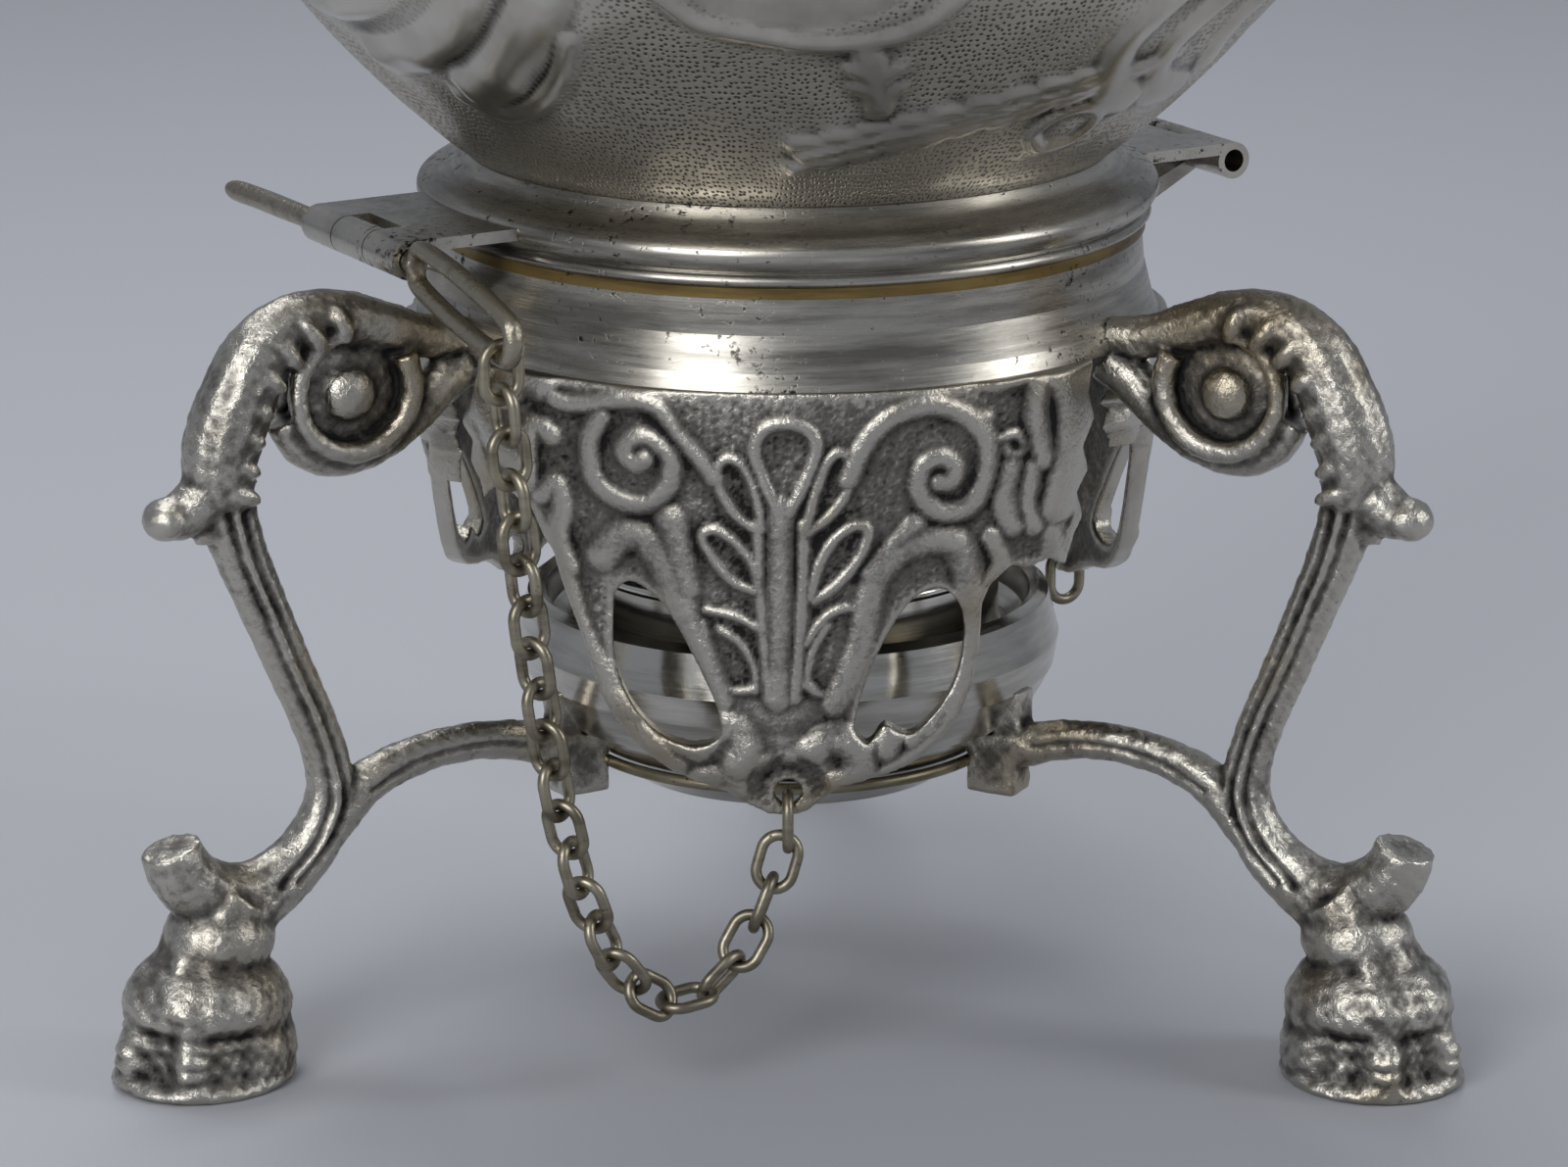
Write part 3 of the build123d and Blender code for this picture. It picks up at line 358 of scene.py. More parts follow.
def flat_plate(name, outline, openings, thickness):
    """A flat plate in the XZ plane from an outline and its openings, in mm, with close points merged."""
    curve = bpy.data.curves.new(name, "CURVE")
    curve.dimensions = "2D"
    curve.fill_mode = "BOTH"
    curve.extrude = thickness / 2
    for loop in [outline] + openings:
        spline = curve.splines.new("POLY")
        spline.points.add(len(loop) - 1)
        for point, (x, y) in zip(spline.points, loop):
            point.co = (x / 1000, y / 1000, 0, 1)
        spline.use_cyclic_u = True
    plate = bpy.data.objects.new(name, curve)
    bpy.context.scene.collection.objects.link(plate)
    bpy.ops.object.select_all(action="DESELECT")
    plate.select_set(True)
    bpy.context.view_layer.objects.active = plate
    bpy.ops.object.convert(target="MESH")
    bpy.ops.object.mode_set(mode="EDIT")
    bpy.ops.mesh.select_all(action="SELECT")
    bpy.ops.mesh.remove_doubles(threshold=0.00001)
    bpy.ops.mesh.normals_make_consistent(inside=False)
    bpy.ops.object.mode_set(mode="OBJECT")
    return bpy.context.object


def remesh(piece, voxel, smoothing):
    """Melts joined shapes into one even skin and softens it, as a casting from a sand mould is soft."""
    bpy.ops.object.select_all(action="DESELECT")
    piece.select_set(True)
    bpy.context.view_layer.objects.active = piece
    melt = piece.modifiers.new("melt", "REMESH")
    melt.mode = "VOXEL"
    melt.voxel_size = voxel
    bpy.ops.object.modifier_apply(modifier="melt")
    if smoothing:
        soften = piece.modifiers.new("soften", "SMOOTH")
        soften.factor = 0.5
        soften.iterations = smoothing
        bpy.ops.object.modifier_apply(modifier="soften")
    piece.data.shade_smooth()


apron_outline = [
    (-50.5, 0.3), (-51.8, -5), (-52.6, -9), (-54.2, -12), (-52.2, -14.5), (-52.8, -18.5), (-51, -21), (-50.4, -24),
    (-47.4, -20.5), (-44.5, -22.5), (-42.4, -23.2), (-40.2, -28), (-38.6, -30), (-37.2, -35), (-33.6, -45),
    (-31.6, -52), (-28.5, -58), (-24, -62.5), (-18.4, -66.2), (-13, -67.8), (-9.5, -69), (-6.4, -71), (-3.2, -72.6),
    (0, -73), (3.2, -72.2), (5.4, -70), (8.5, -67.6), (15.5, -66.2), (20, -64.6), (24.5, -61.6), (28, -57.5),
    (30.4, -52), (31.6, -45), (31.8, -38), (33.4, -34.6), (36.6, -32.2), (39.6, -33.6), (43, -32.4), (46, -34.6),
    (47.4, -29), (48.8, -26.5), (47.6, -22), (49.6, -18.5), (48.6, -14), (50.6, -10), (49.4, -5), (50.2, 0.3)]
opening_left = [(-28.4, -36), (-26.6, -33.6), (-24, -33.8), (-20.5, -36.5), (-17.6, -41), (-14.4, -47.5),
                (-11.6, -54), (-11.2, -58.6), (-14, -60.4), (-18.4, -60.2), (-22.6, -58), (-26.4, -53), (-28.6, -46)]
opening_right = [(10.8, -57.5), (12, -52), (14.6, -45), (17.8, -39), (21, -35.4), (24.6, -34.4), (27.6, -36.6),
                 (28.8, -41), (28.4, -47), (26.4, -53), (22.8, -57.2), (19.4, -59), (15.8, -57), (13.2, -60.2)]
apron_relief = [
    (1.9, 1.3, [(-1.2, -18.7), (-1.5, -34.8), (-1.7, -52.0)]),
    (1.1, 1.2, [(-4.9, -21.7), (-4.4, -34.8), (-3.1, -52.0)]),
    (1.1, 1.2, [(2.5, -21.7), (2.3, -34.8), (1.1, -52.0)]),
    (1.1, 1.4, [(-1.7, -19.5), (-4.2, -13.7), (-5.5, -9.1), (-4.1, -5.8), (-0.7, -4.6), (2.9, -5.5),
                (4.6, -8.7), (2.9, -14.1), (0.2, -19.5)]),
    (1.0, 1.2, [(-4.9, -22.9), (-8.5, -20.2), (-11.2, -15.6), (-11.3, -12.2), (-9.6, -10.7), (-7.1, -12.1),
                (-5.1, -17.2), (-4.2, -22.5)]),
    (1.0, 1.2, [(2.9, -23.3), (6.4, -20.8), (9.5, -16.4), (10.2, -11.8), (8.4, -9.7), (6.4, -11.2),
                (4.4, -16.4), (3.0, -22.5)]),
    (1.0, 1.2, [(-5.5, -33.2), (-9.2, -31.5), (-12.6, -27.3), (-14.0, -24.2), (-11.9, -23.0),
                (-8.5, -25.0), (-5.8, -28.6), (-4.9, -32.5)]),
    (1.0, 1.2, [(4.3, -34.8), (7.8, -32.5), (11.6, -27.9), (13.0, -23.4), (11.0, -22.3), (7.8, -24.2),
                (5.1, -28.6), (3.7, -34.0)]),
    (0.9, 1.1, [(-4.9, -39.7), (-8.5, -37.8), (-13.4, -36.9)]),
    (0.9, 1.1, [(2.9, -42.4), (5.7, -38.2), (9.3, -36.4), (11.7, -36.9)]),
    (1.0, 1.1, [(-5.4, -50.4), (-9.2, -50.7), (-11.9, -47.0), (-14.0, -39.3)]),
    (0.9, 1.0, [(-11.0, -40.3), (-7.8, -42.4), (-5.6, -46.2), (-5.2, -50.1)]),
    (1.0, 1.1, [(2.9, -49.3), (6.4, -51.4), (10.0, -45.8), (12.5, -39.3)]),
    (0.9, 1.0, [(6.4, -39.3), (3.9, -43.9), (2.9, -49.3)]),
    (2.3, 1.6, [(-19.0, -21.7), (-18.0, -27.1), (-17.0, -33.2)]),
    (1.8, 1.4, [(-17.0, -33.2), (-16.0, -39.3), (-13.3, -45.5), (-10.5, -52.7)]),
    (1.9, 1.5, [(20.6, -23.1), (17.1, -27.3), (14.4, -31.3), (13.0, -36.3), (12.0, -42.4), (9.4, -49.3),
                (7.3, -53.3)]),
    (2.2, 1.6, [(-30.5, -29.4), (-27.8, -26.0), (-24.1, -25.0), (-21.1, -27.9), (-19.1, -31.8),
                (-17.0, -37.8)]),
    (2.1, 1.6, [(14.4, -30.9), (17.9, -27.3), (22.8, -25.7), (27.0, -26.6), (28.9, -30.2), (30.0, -34.8),
                (31.0, -38.2)]),
    (1.4, 1.5, [(-40.0, -0.3), (-37.7, -3.5), (-32.6, -3.4), (-26.9, -1.9), (-21.3, -2.6), (-17.7, -7.1),
                (-14.2, -11.0), (-11.9, -14.1)]),
    (1.5, 1.6, [(-30.5, -5.1), (-32.2, -9.5), (-31.9, -14.9), (-29.6, -18.1), (-25.5, -19.6),
                (-21.8, -18.7), (-19.1, -14.9), (-19.0, -10.6), (-22.0, -8.0), (-24.8, -8.0),
                (-26.5, -10.4), (-24.8, -12.3), (-23.4, -11.3)]),
    (1.5, 1.6, [(9.8, -14.3), (12.1, -8.7), (16.4, -4.3), (22.8, -2.6), (28.4, -4.6), (32.1, -8.7),
                (32.8, -14.1), (30.7, -19.5), (27.0, -21.4), (23.5, -20.2), (21.3, -16.4), (22.0, -12.7),
                (24.9, -11.5), (27.0, -13.3), (26.3, -15.6), (24.5, -15.6)]),
    (1.2, 1.2, [(22.8, -2.6), (27.7, -4.8), (32.3, -5.8)]),
    (2.2, 1.7, [(-50.2, -1.1), (-50.6, -8.0), (-47.7, -13.5), (-44.5, -15.3)]),
    (2.6, 1.8, [(-47.1, -3.8), (-43.5, -0.5), (-40.6, -1.1)]),
    (1.7, 1.5, [(-38.9, -9.7), (-41.3, -8.9), (-42.8, -12.6), (-42.5, -18.7)]),
    (1.6, 1.2, [(-52.8, -11.8), (-51.2, -17.9), (-50.6, -22.9)]),
    (1.6, 1.4, [(-40.4, -20.2), (-38.1, -18.1), (-37.0, -21.9), (-37.6, -27.1), (-36.0, -32.5)]),
    (1.9, 1.3, [(-37.7, -29.4), (-36.2, -36.3), (-33.9, -43.9), (-29.8, -51.6), (-24.1, -59.4),
                (-18.4, -64.1)]),
    (2.3, 1.6, [(-29.8, -53.9), (-25.5, -55.6), (-22.5, -53.3), (-19.8, -56.3), (-17.0, -60.2)]),
    (2.3, 1.7, [(-15.2, -60.8), (-12.7, -57.1), (-8.5, -56.9), (-6.8, -60.2), (-8.5, -64.1)]),
    (1.7, 1.3, [(-14.4, -66.4), (-10.5, -65.7), (-7.6, -68.0)]),
    (2.6, 1.9, [(44.9, -0.3), (47.0, -6.4), (46.3, -14.9), (44.8, -23.3)]),
    (1.9, 1.5, [(41.2, -1.1), (40.5, -7.2), (42.1, -14.3)]), (1.5, 1.3, [(34.1, -0.0), (38.4, 0.7)]),
    (1.1, 1.2, [(34.5, -9.7), (37.5, -9.4), (38.6, -12.1), (36.4, -13.0), (35.4, -11.5)]),
    (1.9, 1.5, [(36.4, -14.9), (35.4, -20.2), (36.9, -25.0)]),
    (1.6, 1.3, [(39.9, -15.6), (38.9, -21.7), (40.5, -25.7)]),
    (1.7, 1.3, [(48.4, -16.5), (49.2, -23.3), (47.0, -30.2)]),
    (1.5, 1.3, [(33.4, -26.5), (35.0, -30.9), (33.5, -34.0)]), (2.0, 1.2, [(44.0, -27.1), (44.0, -32.5)]),
    (1.8, 1.3, [(26.4, -37.4), (29.8, -38.1), (30.8, -43.9), (29.8, -50.1), (27.0, -56.2), (22.8, -61.5),
                (17.1, -65.5)]),
    (1.4, 1.5, [(21.3, -49.3), (22.2, -54.6), (20.6, -60.3)]),
    (1.4, 1.5, [(24.9, -47.3), (25.0, -53.1), (23.5, -58.6)]),
    (1.8, 1.5, [(15.7, -53.1), (17.1, -57.7), (16.4, -61.7)]), (1.3, 1.3, [(18.6, -52.8), (19.3, -57.7)]),
    (2.4, 1.7, [(4.3, -60.3), (7.1, -58.6), (11.3, -60.9), (11.4, -65.4), (7.8, -67.8)]),
    (2.8, 0.9, [(-10.5, -53.4), (-1.4, -57.1), (7.3, -53.4)]), (1.3, 1.2, [(-4.1, -62.8), (-5.5, -68.0)]),
    (1.3, 1.2, [(0.6, -62.8), (2.3, -69.2)]),
    (1.0, 1.1, [(-4.5, -68.7), (-3.1, -65.8), (-0.5, -66.3), (0.2, -69.2)]),
]
apron_relief = [(half * min(1.25, 0.5 + 0.5 * half), 0.85 * height, smooth_path(path))
                for half, height, path in apron_relief]
apron_swells = [
    (5.5, 0.6, [(-1, -18), (-1, -34), (-1, -52)]), (6.0, 0.9, [(-24, -12), (-25, -14)]),
    (6.0, 0.9, [(26, -12), (27, -14)]), (5.0, 1.1, [(-47, -4), (-46, -16)]), (5.5, 1.1, [(45, -5), (44, -26)]),
    (4.5, 1.0, [(-20, -60), (-8, -63), (8, -63), (20, -60)])]
tip_circle = [(2.3 * math.cos(i * math.pi / 8), 2.3 * math.sin(i * math.pi / 8)) for i in range(16)]


def cast_apron(name, drop):
    """One apron, cast flat with its relief and then bent to the stand's cone, at the angle of +X."""
    stretch = drop / 73
    tip_z = (4.2 - drop) / stretch
    openings = [smooth_path(opening_left + opening_left[:1], 3)[:-1],
                smooth_path(opening_right + opening_right[:1], 3)[:-1],
                [(x, y / stretch + tip_z) for x, y in tip_circle]]
    plate = flat_plate(name, apron_outline, openings, apron_thickness)
    remesh(plate, 0.00048, 3)
    points = read_points(plate.data)
    across, height = points[:, 0], points[:, 1] * stretch
    outward = points[:, 2] / apron_thickness + 0.5
    from_tip_hole = numpy.hypot(points[:, 0] * 1000, points[:, 1] * 1000 - tip_z)
    flat_round_hole = numpy.clip((from_tip_hole - 4.5) / 3, 0, 1)
    relief = raised_height(points[:, :2], apron_relief) * flat_round_hole
    swell = raised_height(points[:, :2], apron_swells) * flat_round_hole
    grit = 0.00016 * numpy.sin(points[:, 0] * 5200 + 3 * numpy.sin(points[:, 1] * 2100))
    grit = grit * numpy.sin(points[:, 1] * 4700 + 3 * numpy.sin(points[:, 0] * 1900))
    hollow = numpy.where(relief < 0.0003, 1.0, 0.25)
    wall = outward * (apron_thickness + relief + swell + grit * hollow)
    radius = cone_top_r - cone_foot_in * (-height) / (drop / 1000 + 0.001) + wall
    depth = numpy.sqrt(numpy.maximum(radius ** 2 - across ** 2, 0.0001))
    write_points(plate.data, numpy.column_stack((depth, across, apron_top + height)))
    store_recess(plate, 14, 0.0006)
    return plate


def cast_material(name, bright, middle, black, brass):
    """Cast plate: the stored recess drives oxide in the hollows, and brass shows where it is rubbed through."""
    material, tree, output = new_material(name)
    place = add_node(tree, "ShaderNodeTexCoord").outputs["Object"]
    recess = add_node(tree, "ShaderNodeAttribute", {"attribute_name": "recess"}).outputs["Fac"]
    patches = add_node(tree, "ShaderNodeTexNoise", Vector=place, Scale=90, Detail=5, Roughness=0.65)
    pits = add_node(tree, "ShaderNodeTexNoise", Vector=place, Scale=900, Detail=4, Roughness=0.7)
    uneven = add_node(tree, "ShaderNodeMath", {"operation": "MULTIPLY_ADD"}, i0=patches.outputs["Fac"], i1=0.5,
                      i2=recess)
    uneven = add_node(tree, "ShaderNodeMath", {"operation": "MULTIPLY_ADD"}, i0=pits.outputs["Fac"], i1=0.36,
                      i2=uneven.outputs[0])
    colour = ramp_stops(add_node(tree, "ShaderNodeValToRGB",
                                 Fac=add_node(tree, "ShaderNodeMath", {"operation": "MULTIPLY"}, i0=uneven.outputs[0],
                                              i1=0.6).outputs[0]),
                        [(0.47, bright), (0.57, middle), (0.72, black)])
    wear = add_node(tree, "ShaderNodeTexNoise", Vector=place, Scale=34, Detail=3)
    rubbed = add_node(tree, "ShaderNodeMapRange", Value=wear.outputs["Fac"], i1=0.52, i2=0.7, i3=0.0, i4=0.6)
    colour = add_node(tree, "ShaderNodeMix", {"data_type": "RGBA", "blend_type": "MULTIPLY"}, i0=rubbed.outputs[0],
                      i6=colour, i7=hex_colour(brass)).outputs[2]
    oxide = add_node(tree, "ShaderNodeMapRange", Value=uneven.outputs[0], i1=0.92, i2=1.2)
    rough = add_node(tree, "ShaderNodeMapRange", Value=uneven.outputs[0], i1=0.75, i2=1.2, i3=0.2, i4=0.62)
    metallic = add_node(tree, "ShaderNodeMapRange", Value=oxide.outputs[0], i1=0.0, i2=1.0, i3=1.0, i4=0.55)
    height = add_node(tree, "ShaderNodeMath", {"operation": "MULTIPLY_ADD"}, i0=patches.outputs["Fac"], i1=0.6,
                      i2=pits.outputs["Fac"])
    bump = add_node(tree, "ShaderNodeBump", Height=height.outputs[0], Strength=0.55, Distance=0.0005)
    metal = add_node(tree, "ShaderNodeBsdfPrincipled", Base_Color=colour, Metallic=metallic.outputs[0],
                     Roughness=rough.outputs[0], Normal=bump.outputs[0])
    tree.links.new(metal.outputs[0], output.inputs[0])
    return material


cast_silver_plate = cast_material("cast and oxidised silver plate", "#c2beb4", "#7d7973", "#171513", "#c9b489")


def turn_about_stand(piece, angle):
    """Sets a piece made at +X to its place round the stand's own axis."""
    turned = Matrix.Translation((stand_x, 0, 0)) @ Matrix.Rotation(math.radians(angle), 4, "Z")
    piece.data.transform(turned)
    piece.data.update()


def copied(piece, name):
    twin = bpy.data.objects.new(name, piece.data.copy())
    bpy.context.scene.collection.objects.link(twin)
    return twin


front_apron = cast_apron("front_apron", 73)
back_apron = cast_apron("back_apron", 55)
other_apron = copied(back_apron, "other_back_apron")
for piece, node, angle in ((front_apron, "apron_left", 240), (back_apron, "apron_rear", 0),
                           (other_apron, "apron_right", 120)):
    turn_about_stand(piece, angle)
    piece.data.materials.append(cast_silver_plate)
    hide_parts(node)
    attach(piece, "stand")


# Cast legs: each is one plated brass casting with a scroll that meets the ring, a leaf over its shoulder, a slim
# reeded shin, a brace that carries the burner's hoop, and a lion's paw. The sprues are filed off roughly.
def limb(name, stations):
    """A round limb along (radius, across, height, half thickness) stations in mm."""
    curve = bpy.data.curves.new(name, "CURVE")
    curve.dimensions = "3D"
    curve.bevel_depth = 0.001
    curve.bevel_resolution = 4
    curve.use_fill_caps = True
    spline = curve.splines.new("POLY")
    rounded = smooth_path(stations, 4)
    spline.points.add(len(rounded) - 1)
    for point, (x, y, z, thickness) in zip(spline.points, rounded):
        point.co = (x / 1000, y / 1000, z / 1000, 1)
        point.radius = max(thickness, 0.3)
    piece = bpy.data.objects.new(name, curve)
    bpy.context.scene.collection.objects.link(piece)
    bpy.ops.object.select_all(action="DESELECT")
    piece.select_set(True)
    bpy.context.view_layer.objects.active = piece
    bpy.ops.object.convert(target="MESH")
    return bpy.context.object


def lump(place, sizes, turn=0.0):
    """A rounded lump of clay on the pattern that the leg is cast from, sizes as half widths in mm."""
    bpy.ops.mesh.primitive_uv_sphere_add(segments=20, ring_count=12, radius=0.001,
                                         location=[c / 1000 for c in place], rotation=(0, math.radians(turn), 0),
                                         scale=sizes)
    bpy.ops.object.transform_apply(location=True, rotation=True, scale=True)
    return bpy.context.object


forms = [
    limb("shoulder", [(62, 0, 121, 3.4), (70, 0, 122, 3.8), (77, 0, 124.5, 4.2), (85, 0, 127, 4.6),
                      (93, 0, 126.6, 5.2), (99.4, 0, 122.6, 5.8), (103, 0, 116, 6.4), (106, 0, 109, 6.6),
                      (107, 0, 103, 6.0),
                      (105.6, 0, 96, 5.0), (103, 0, 88, 4.5), (99.4, 0, 79, 4.2), (95.4, 0, 69, 4.0),
                      (91.6, 0, 60, 3.9), (89, 0, 52, 4.0), (88.4, 0, 45, 4.4), (91.6, 0, 38, 4.8), (98, 0, 32, 5.2),
                      (105, 0, 28, 6.0), (110, 0, 24, 7.4)]),
    limb("spur", [(105, 0, 105, 5.6), (109, 0, 100.4, 4.8), (113.4, 0, 97.4, 4.2), (117, 0, 96.6, 3.4)]),
    lump((116.6, 0, 96.9), (3.9, 4.4, 3.5), 15),
    limb("spur lip", [(104.4, 0, 97, 4.2), (108.4, 0, 94.4, 3.0), (111.4, 0, 94.2, 2.2)]),
    limb("arm", [(61, 0, 117, 3.8), (67, 0, 113.4, 4.0), (73, 0, 108.6, 4.0), (79, 0, 105, 3.8), (86, 0, 103.6, 3.6),
                 (92, 0, 106, 3.4), (95.4, 0, 111, 3.2)]),
    limb("brace", [(46, 0, 47.4, 4.0), (54, 0, 49.6, 3.5), (63, 0, 50.6, 3.3), (73, 0, 49.6, 3.4), (82, 0, 46.4, 3.8),
                   (89, 0, 40.4, 4.4), (95, 0, 34.6, 4.6)]),
    limb("foot spur", [(95, 0, 34.6, 4.8), (101, 0, 31.4, 5.2), (107, 0, 30.8, 5.6), (112.4, 0, 32.8, 5.8),
                       (116, 0, 36.6, 5.6), (117.6, 0, 41, 5.2)]),
    limb("shank", [(106, 0, 31, 7.4), (109, 0, 27, 7.8), (110.4, 0, 22, 8.8), (111.6, 0, 17, 10.4)]),
    lump((84, 0, 115), (10.6, 3.0, 10.6)),
]
for side in (-1, 1):
    rim = []
    for step in range(15):
        angle = math.radians(150 + 20 * step)
        reach = 10.6 - 0.05 * step
        rim.append((84 + reach * math.cos(angle), side * 3.7, 115 + reach * math.sin(angle), 2.1 - 0.05 * step))
    forms.append(limb("volute rim", rim))
    forms.append(lump((84.6, side * 3.0, 114.6), (4.5, 2.9, 4.5)))
    for radius, height, tip in ((85.6, 124.4, 70), (90.4, 123.6, 58), (94.6, 121.2, 48), (97.8, 117.6, 40),
                                (100.2, 113.4, 34), (101.8, 108.8, 30), (102.8, 104.0, 26), (102.8, 99.4, 22)):
        forms.append(lump((radius + 2.2 * math.cos(math.radians(tip)), side * 4.7,
                           height + 2.2 * math.sin(math.radians(tip))), (3.5, 1.7, 1.6), -tip))
for place, sizes in (((112.4, 0, 5), (15.6, 14.8, 12.4)), ((112.8, 0, 1.4), (15.8, 15, 4)),
                     ((111.8, 0, 12.5), (14.4, 13.6, 11)), ((109.4, 0, 24), (9.6, 9.4, 7.4))):
    forms.append(lump(place, sizes))
for place, sizes in (((41.6, 0, 44), (0.0046, 0.0036, 0.0052)), ((44.4, 0, 51.5), (0.0024, 0.0028, 0.0058))):
    bpy.ops.mesh.primitive_cube_add(size=2, location=[c / 1000 for c in place], scale=sizes)
    bpy.ops.object.transform_apply(location=True, rotation=True, scale=True)
    forms.append(bpy.context.object)
bpy.ops.object.select_all(action="DESELECT")
for form in forms:
    form.select_set(True)
bpy.context.view_layer.objects.active = forms[0]
bpy.ops.object.join()
leg = bpy.context.object
leg.name = "front_leg"
remesh(leg, 0.00052, 5)
bpy.ops.object.mode_set(mode="EDIT")
bpy.ops.mesh.select_all(action="SELECT")
bpy.ops.mesh.bisect(plane_co=(0, 0, 0.0002), plane_no=(0, 0, 1), clear_inner=True, use_fill=True)
bpy.ops.object.mode_set(mode="OBJECT")
points = read_points(leg.data)
normals = numpy.empty(len(points) * 3)
leg.data.vertex_normals.foreach_get("vector", normals)
normals = normals.reshape(-1, 3)
shin = [(106, 97), (103.4, 88), (99.8, 79), (95.8, 69), (92, 60), (89.4, 52), (88.8, 45), (92, 38.4), (98, 32.6)]
reeds = [(0.9, -1.0, smooth_path([(r + aside, z) for r, z in shin])) for aside in (-1.7, 1.5)]
brace_line = [(50, 48.6), (58, 50.4), (66, 50.6), (74, 49.4), (82, 46)]
reeds.append((0.7, -0.6, smooth_path(brace_line)))
press = raised_height(points[:, [0, 2]], reeds) * numpy.clip(numpy.abs(normals[:, 1]) * 1.6 - 0.4, 0, 1)
scale = points * 1000
lumpy = (numpy.sin(scale[:, 0] * 0.9 + 2 * numpy.sin(scale[:, 2] * 0.53)) * numpy.sin(scale[:, 2] * 0.8 + scale[:, 1])
         + 0.6 * numpy.sin(scale[:, 0] * 2.3 + scale[:, 1] * 1.9) * numpy.sin(scale[:, 2] * 2.1))
low_pits = numpy.clip(1 - points[:, 2] / 0.02, 0, 1)
lumpy = lumpy * (0.00010 + 0.00014 * low_pits)
paw_middle = 112.4
fan = numpy.degrees(numpy.arctan2(scale[:, 1], scale[:, 0] - paw_middle))
high = scale[:, 2]
hollows = numpy.zeros(len(points))
for middle, half in ((-88, 24), (-28, 17), (28, 17), (88, 24)):
    hollows = hollows + numpy.exp(-((fan - middle) / half) ** 4) * numpy.exp(-((high - 6.8) / 4.6) ** 4)
toes = numpy.zeros(len(points))
for middle in (-57, 0, 57):
    toes = toes + numpy.exp(-((fan - middle) / 11) ** 4) * numpy.exp(-((high - 7) / 5) ** 4)
paw = 0.0008 * toes - 0.0022 * hollows
for knuckle in (3.6, 6.0, 8.4):
    paw = paw - 0.0005 * toes * numpy.exp(-((high - knuckle) / 0.7) ** 2)
for fold in (-60, -10, 42):
    sweep = fan - fold + 2.6 * (high - 18)
    paw = paw + 0.0011 * numpy.exp(-(sweep / 13) ** 2) * numpy.exp(-((high - 18.5) / 5) ** 4)
paw = numpy.where(scale[:, 0] > 96, paw, 0) * numpy.clip(1.2 - numpy.abs(normals[:, 2]), 0, 1)
from_middle = numpy.column_stack((scale[:, 0] - paw_middle, scale[:, 1], numpy.zeros(len(points))))
from_middle = from_middle / numpy.maximum(numpy.hypot(from_middle[:, 0], from_middle[:, 1]), 1)[:, None]
foot = points[:, 2] < 0.0008
move = numpy.where(foot, 0, press + lumpy)
write_points(leg.data, points + normals * move[:, None] + from_middle * numpy.where(foot, 0, paw)[:, None])
leg.data.shade_smooth()
store_recess(leg, 18, 0.0007)
left_leg = copied(leg, "left_leg")
right_leg = copied(leg, "right_leg")
for piece, node, angle in ((leg, "leg_front", 180), (left_leg, "leg_left", 300), (right_leg, "leg_right", 60)):
    turn_about_stand(piece, angle)
    piece.data.materials.append(cast_silver_plate)
    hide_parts(node)
    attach(piece, "stand")


# Front hinge pin: a drawn rod, a little bent near its rounded tip, with a cast loop that a finger pulls. The loop
# is flat and thick, and the plate has worn through to brass on its outer side.
pin_x = 1000 * stand_x - 80
pin_rod = limb("drawn hinge pin", [(pin_x, -20, 139, 1.85), (pin_x, 0, 139, 1.85), (pin_x, 17, 139, 1.85),
                                   (pin_x, 30, 138.9, 1.9), (pin_x + 0.2, 42, 138.6, 1.9),
                                   (pin_x + 0.3, 50, 138.3, 1.8), (pin_x + 0.3, 53, 138.2, 1.1)])
tilt = math.radians(11)
loop_points = []
for step in range(33):
    angle = 2 * math.pi * step / 32
    lengthwise = 13.2 * max(-1, min(1, 1.6 * math.cos(angle))) + 4.2 * math.cos(angle)
    upright = 4.0 * math.sin(angle)
    loop_points.append((pin_x, -36.0 + lengthwise * math.cos(tilt) - upright * math.sin(tilt),
                        135.7 + lengthwise * math.sin(tilt) + upright * math.cos(tilt), 1.55))
pin_loop = limb("cast pin loop", loop_points)
bpy.ops.object.select_all(action="DESELECT")
pin_rod.select_set(True)
pin_loop.select_set(True)
bpy.context.view_layer.objects.active = pin_rod
bpy.ops.object.join()
hinge_pin = bpy.context.object
hinge_pin.name = "front_hinge_pin"
remesh(hinge_pin, 0.0004, 3)
points = read_points(hinge_pin.data)
loop_part = numpy.clip((-0.017 - points[:, 1]) / 0.004, 0, 1)
points[:, 0] = pin_x / 1000 + (points[:, 0] - pin_x / 1000) * (1 + 0.15 * loop_part)
write_points(hinge_pin.data, points)
store_recess(hinge_pin, 10, 0.0005)
hinge_pin.data.materials.append(cast_material("worn and handled nickel brass", "#a8a190", "#7d7462", "#2a251d",
                                              "#bfa46a"))
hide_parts("front_pin")
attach(hinge_pin, "front_pin")


# Kettle body: raised from sheet, with rococo lobes, a plain cartouche and a laurel sprig chased up from behind on
# each side. The ground between them was matted with a round punch, row by row, and it holds the dark tarnish.
neck_r = 50.5
base_z = 139.0
neck_z = 144.5
mouth_r = 44.0
rim_z = 259.5
wall = 1.2
side_curve = [(50.5, 144.5), (63.55, 155.05), (80, 172), (92.2, 188.5), (97, 207), (92.7, 227), (80, 243),
              (63, 252.7), (44, 256)]


def even_steps(path, pitch):
    """The same path walked in equal steps of about a pitch."""
    path = numpy.array(path, float)
    lengths = numpy.concatenate(([0], numpy.cumsum(numpy.hypot(*numpy.diff(path, axis=0).T))))
    wanted = numpy.linspace(0, lengths[-1], max(int(round(lengths[-1] / pitch)), 1) + 1)
    return list(zip(numpy.interp(wanted, lengths, path[:, 0]), numpy.interp(wanted, lengths, path[:, 1])))


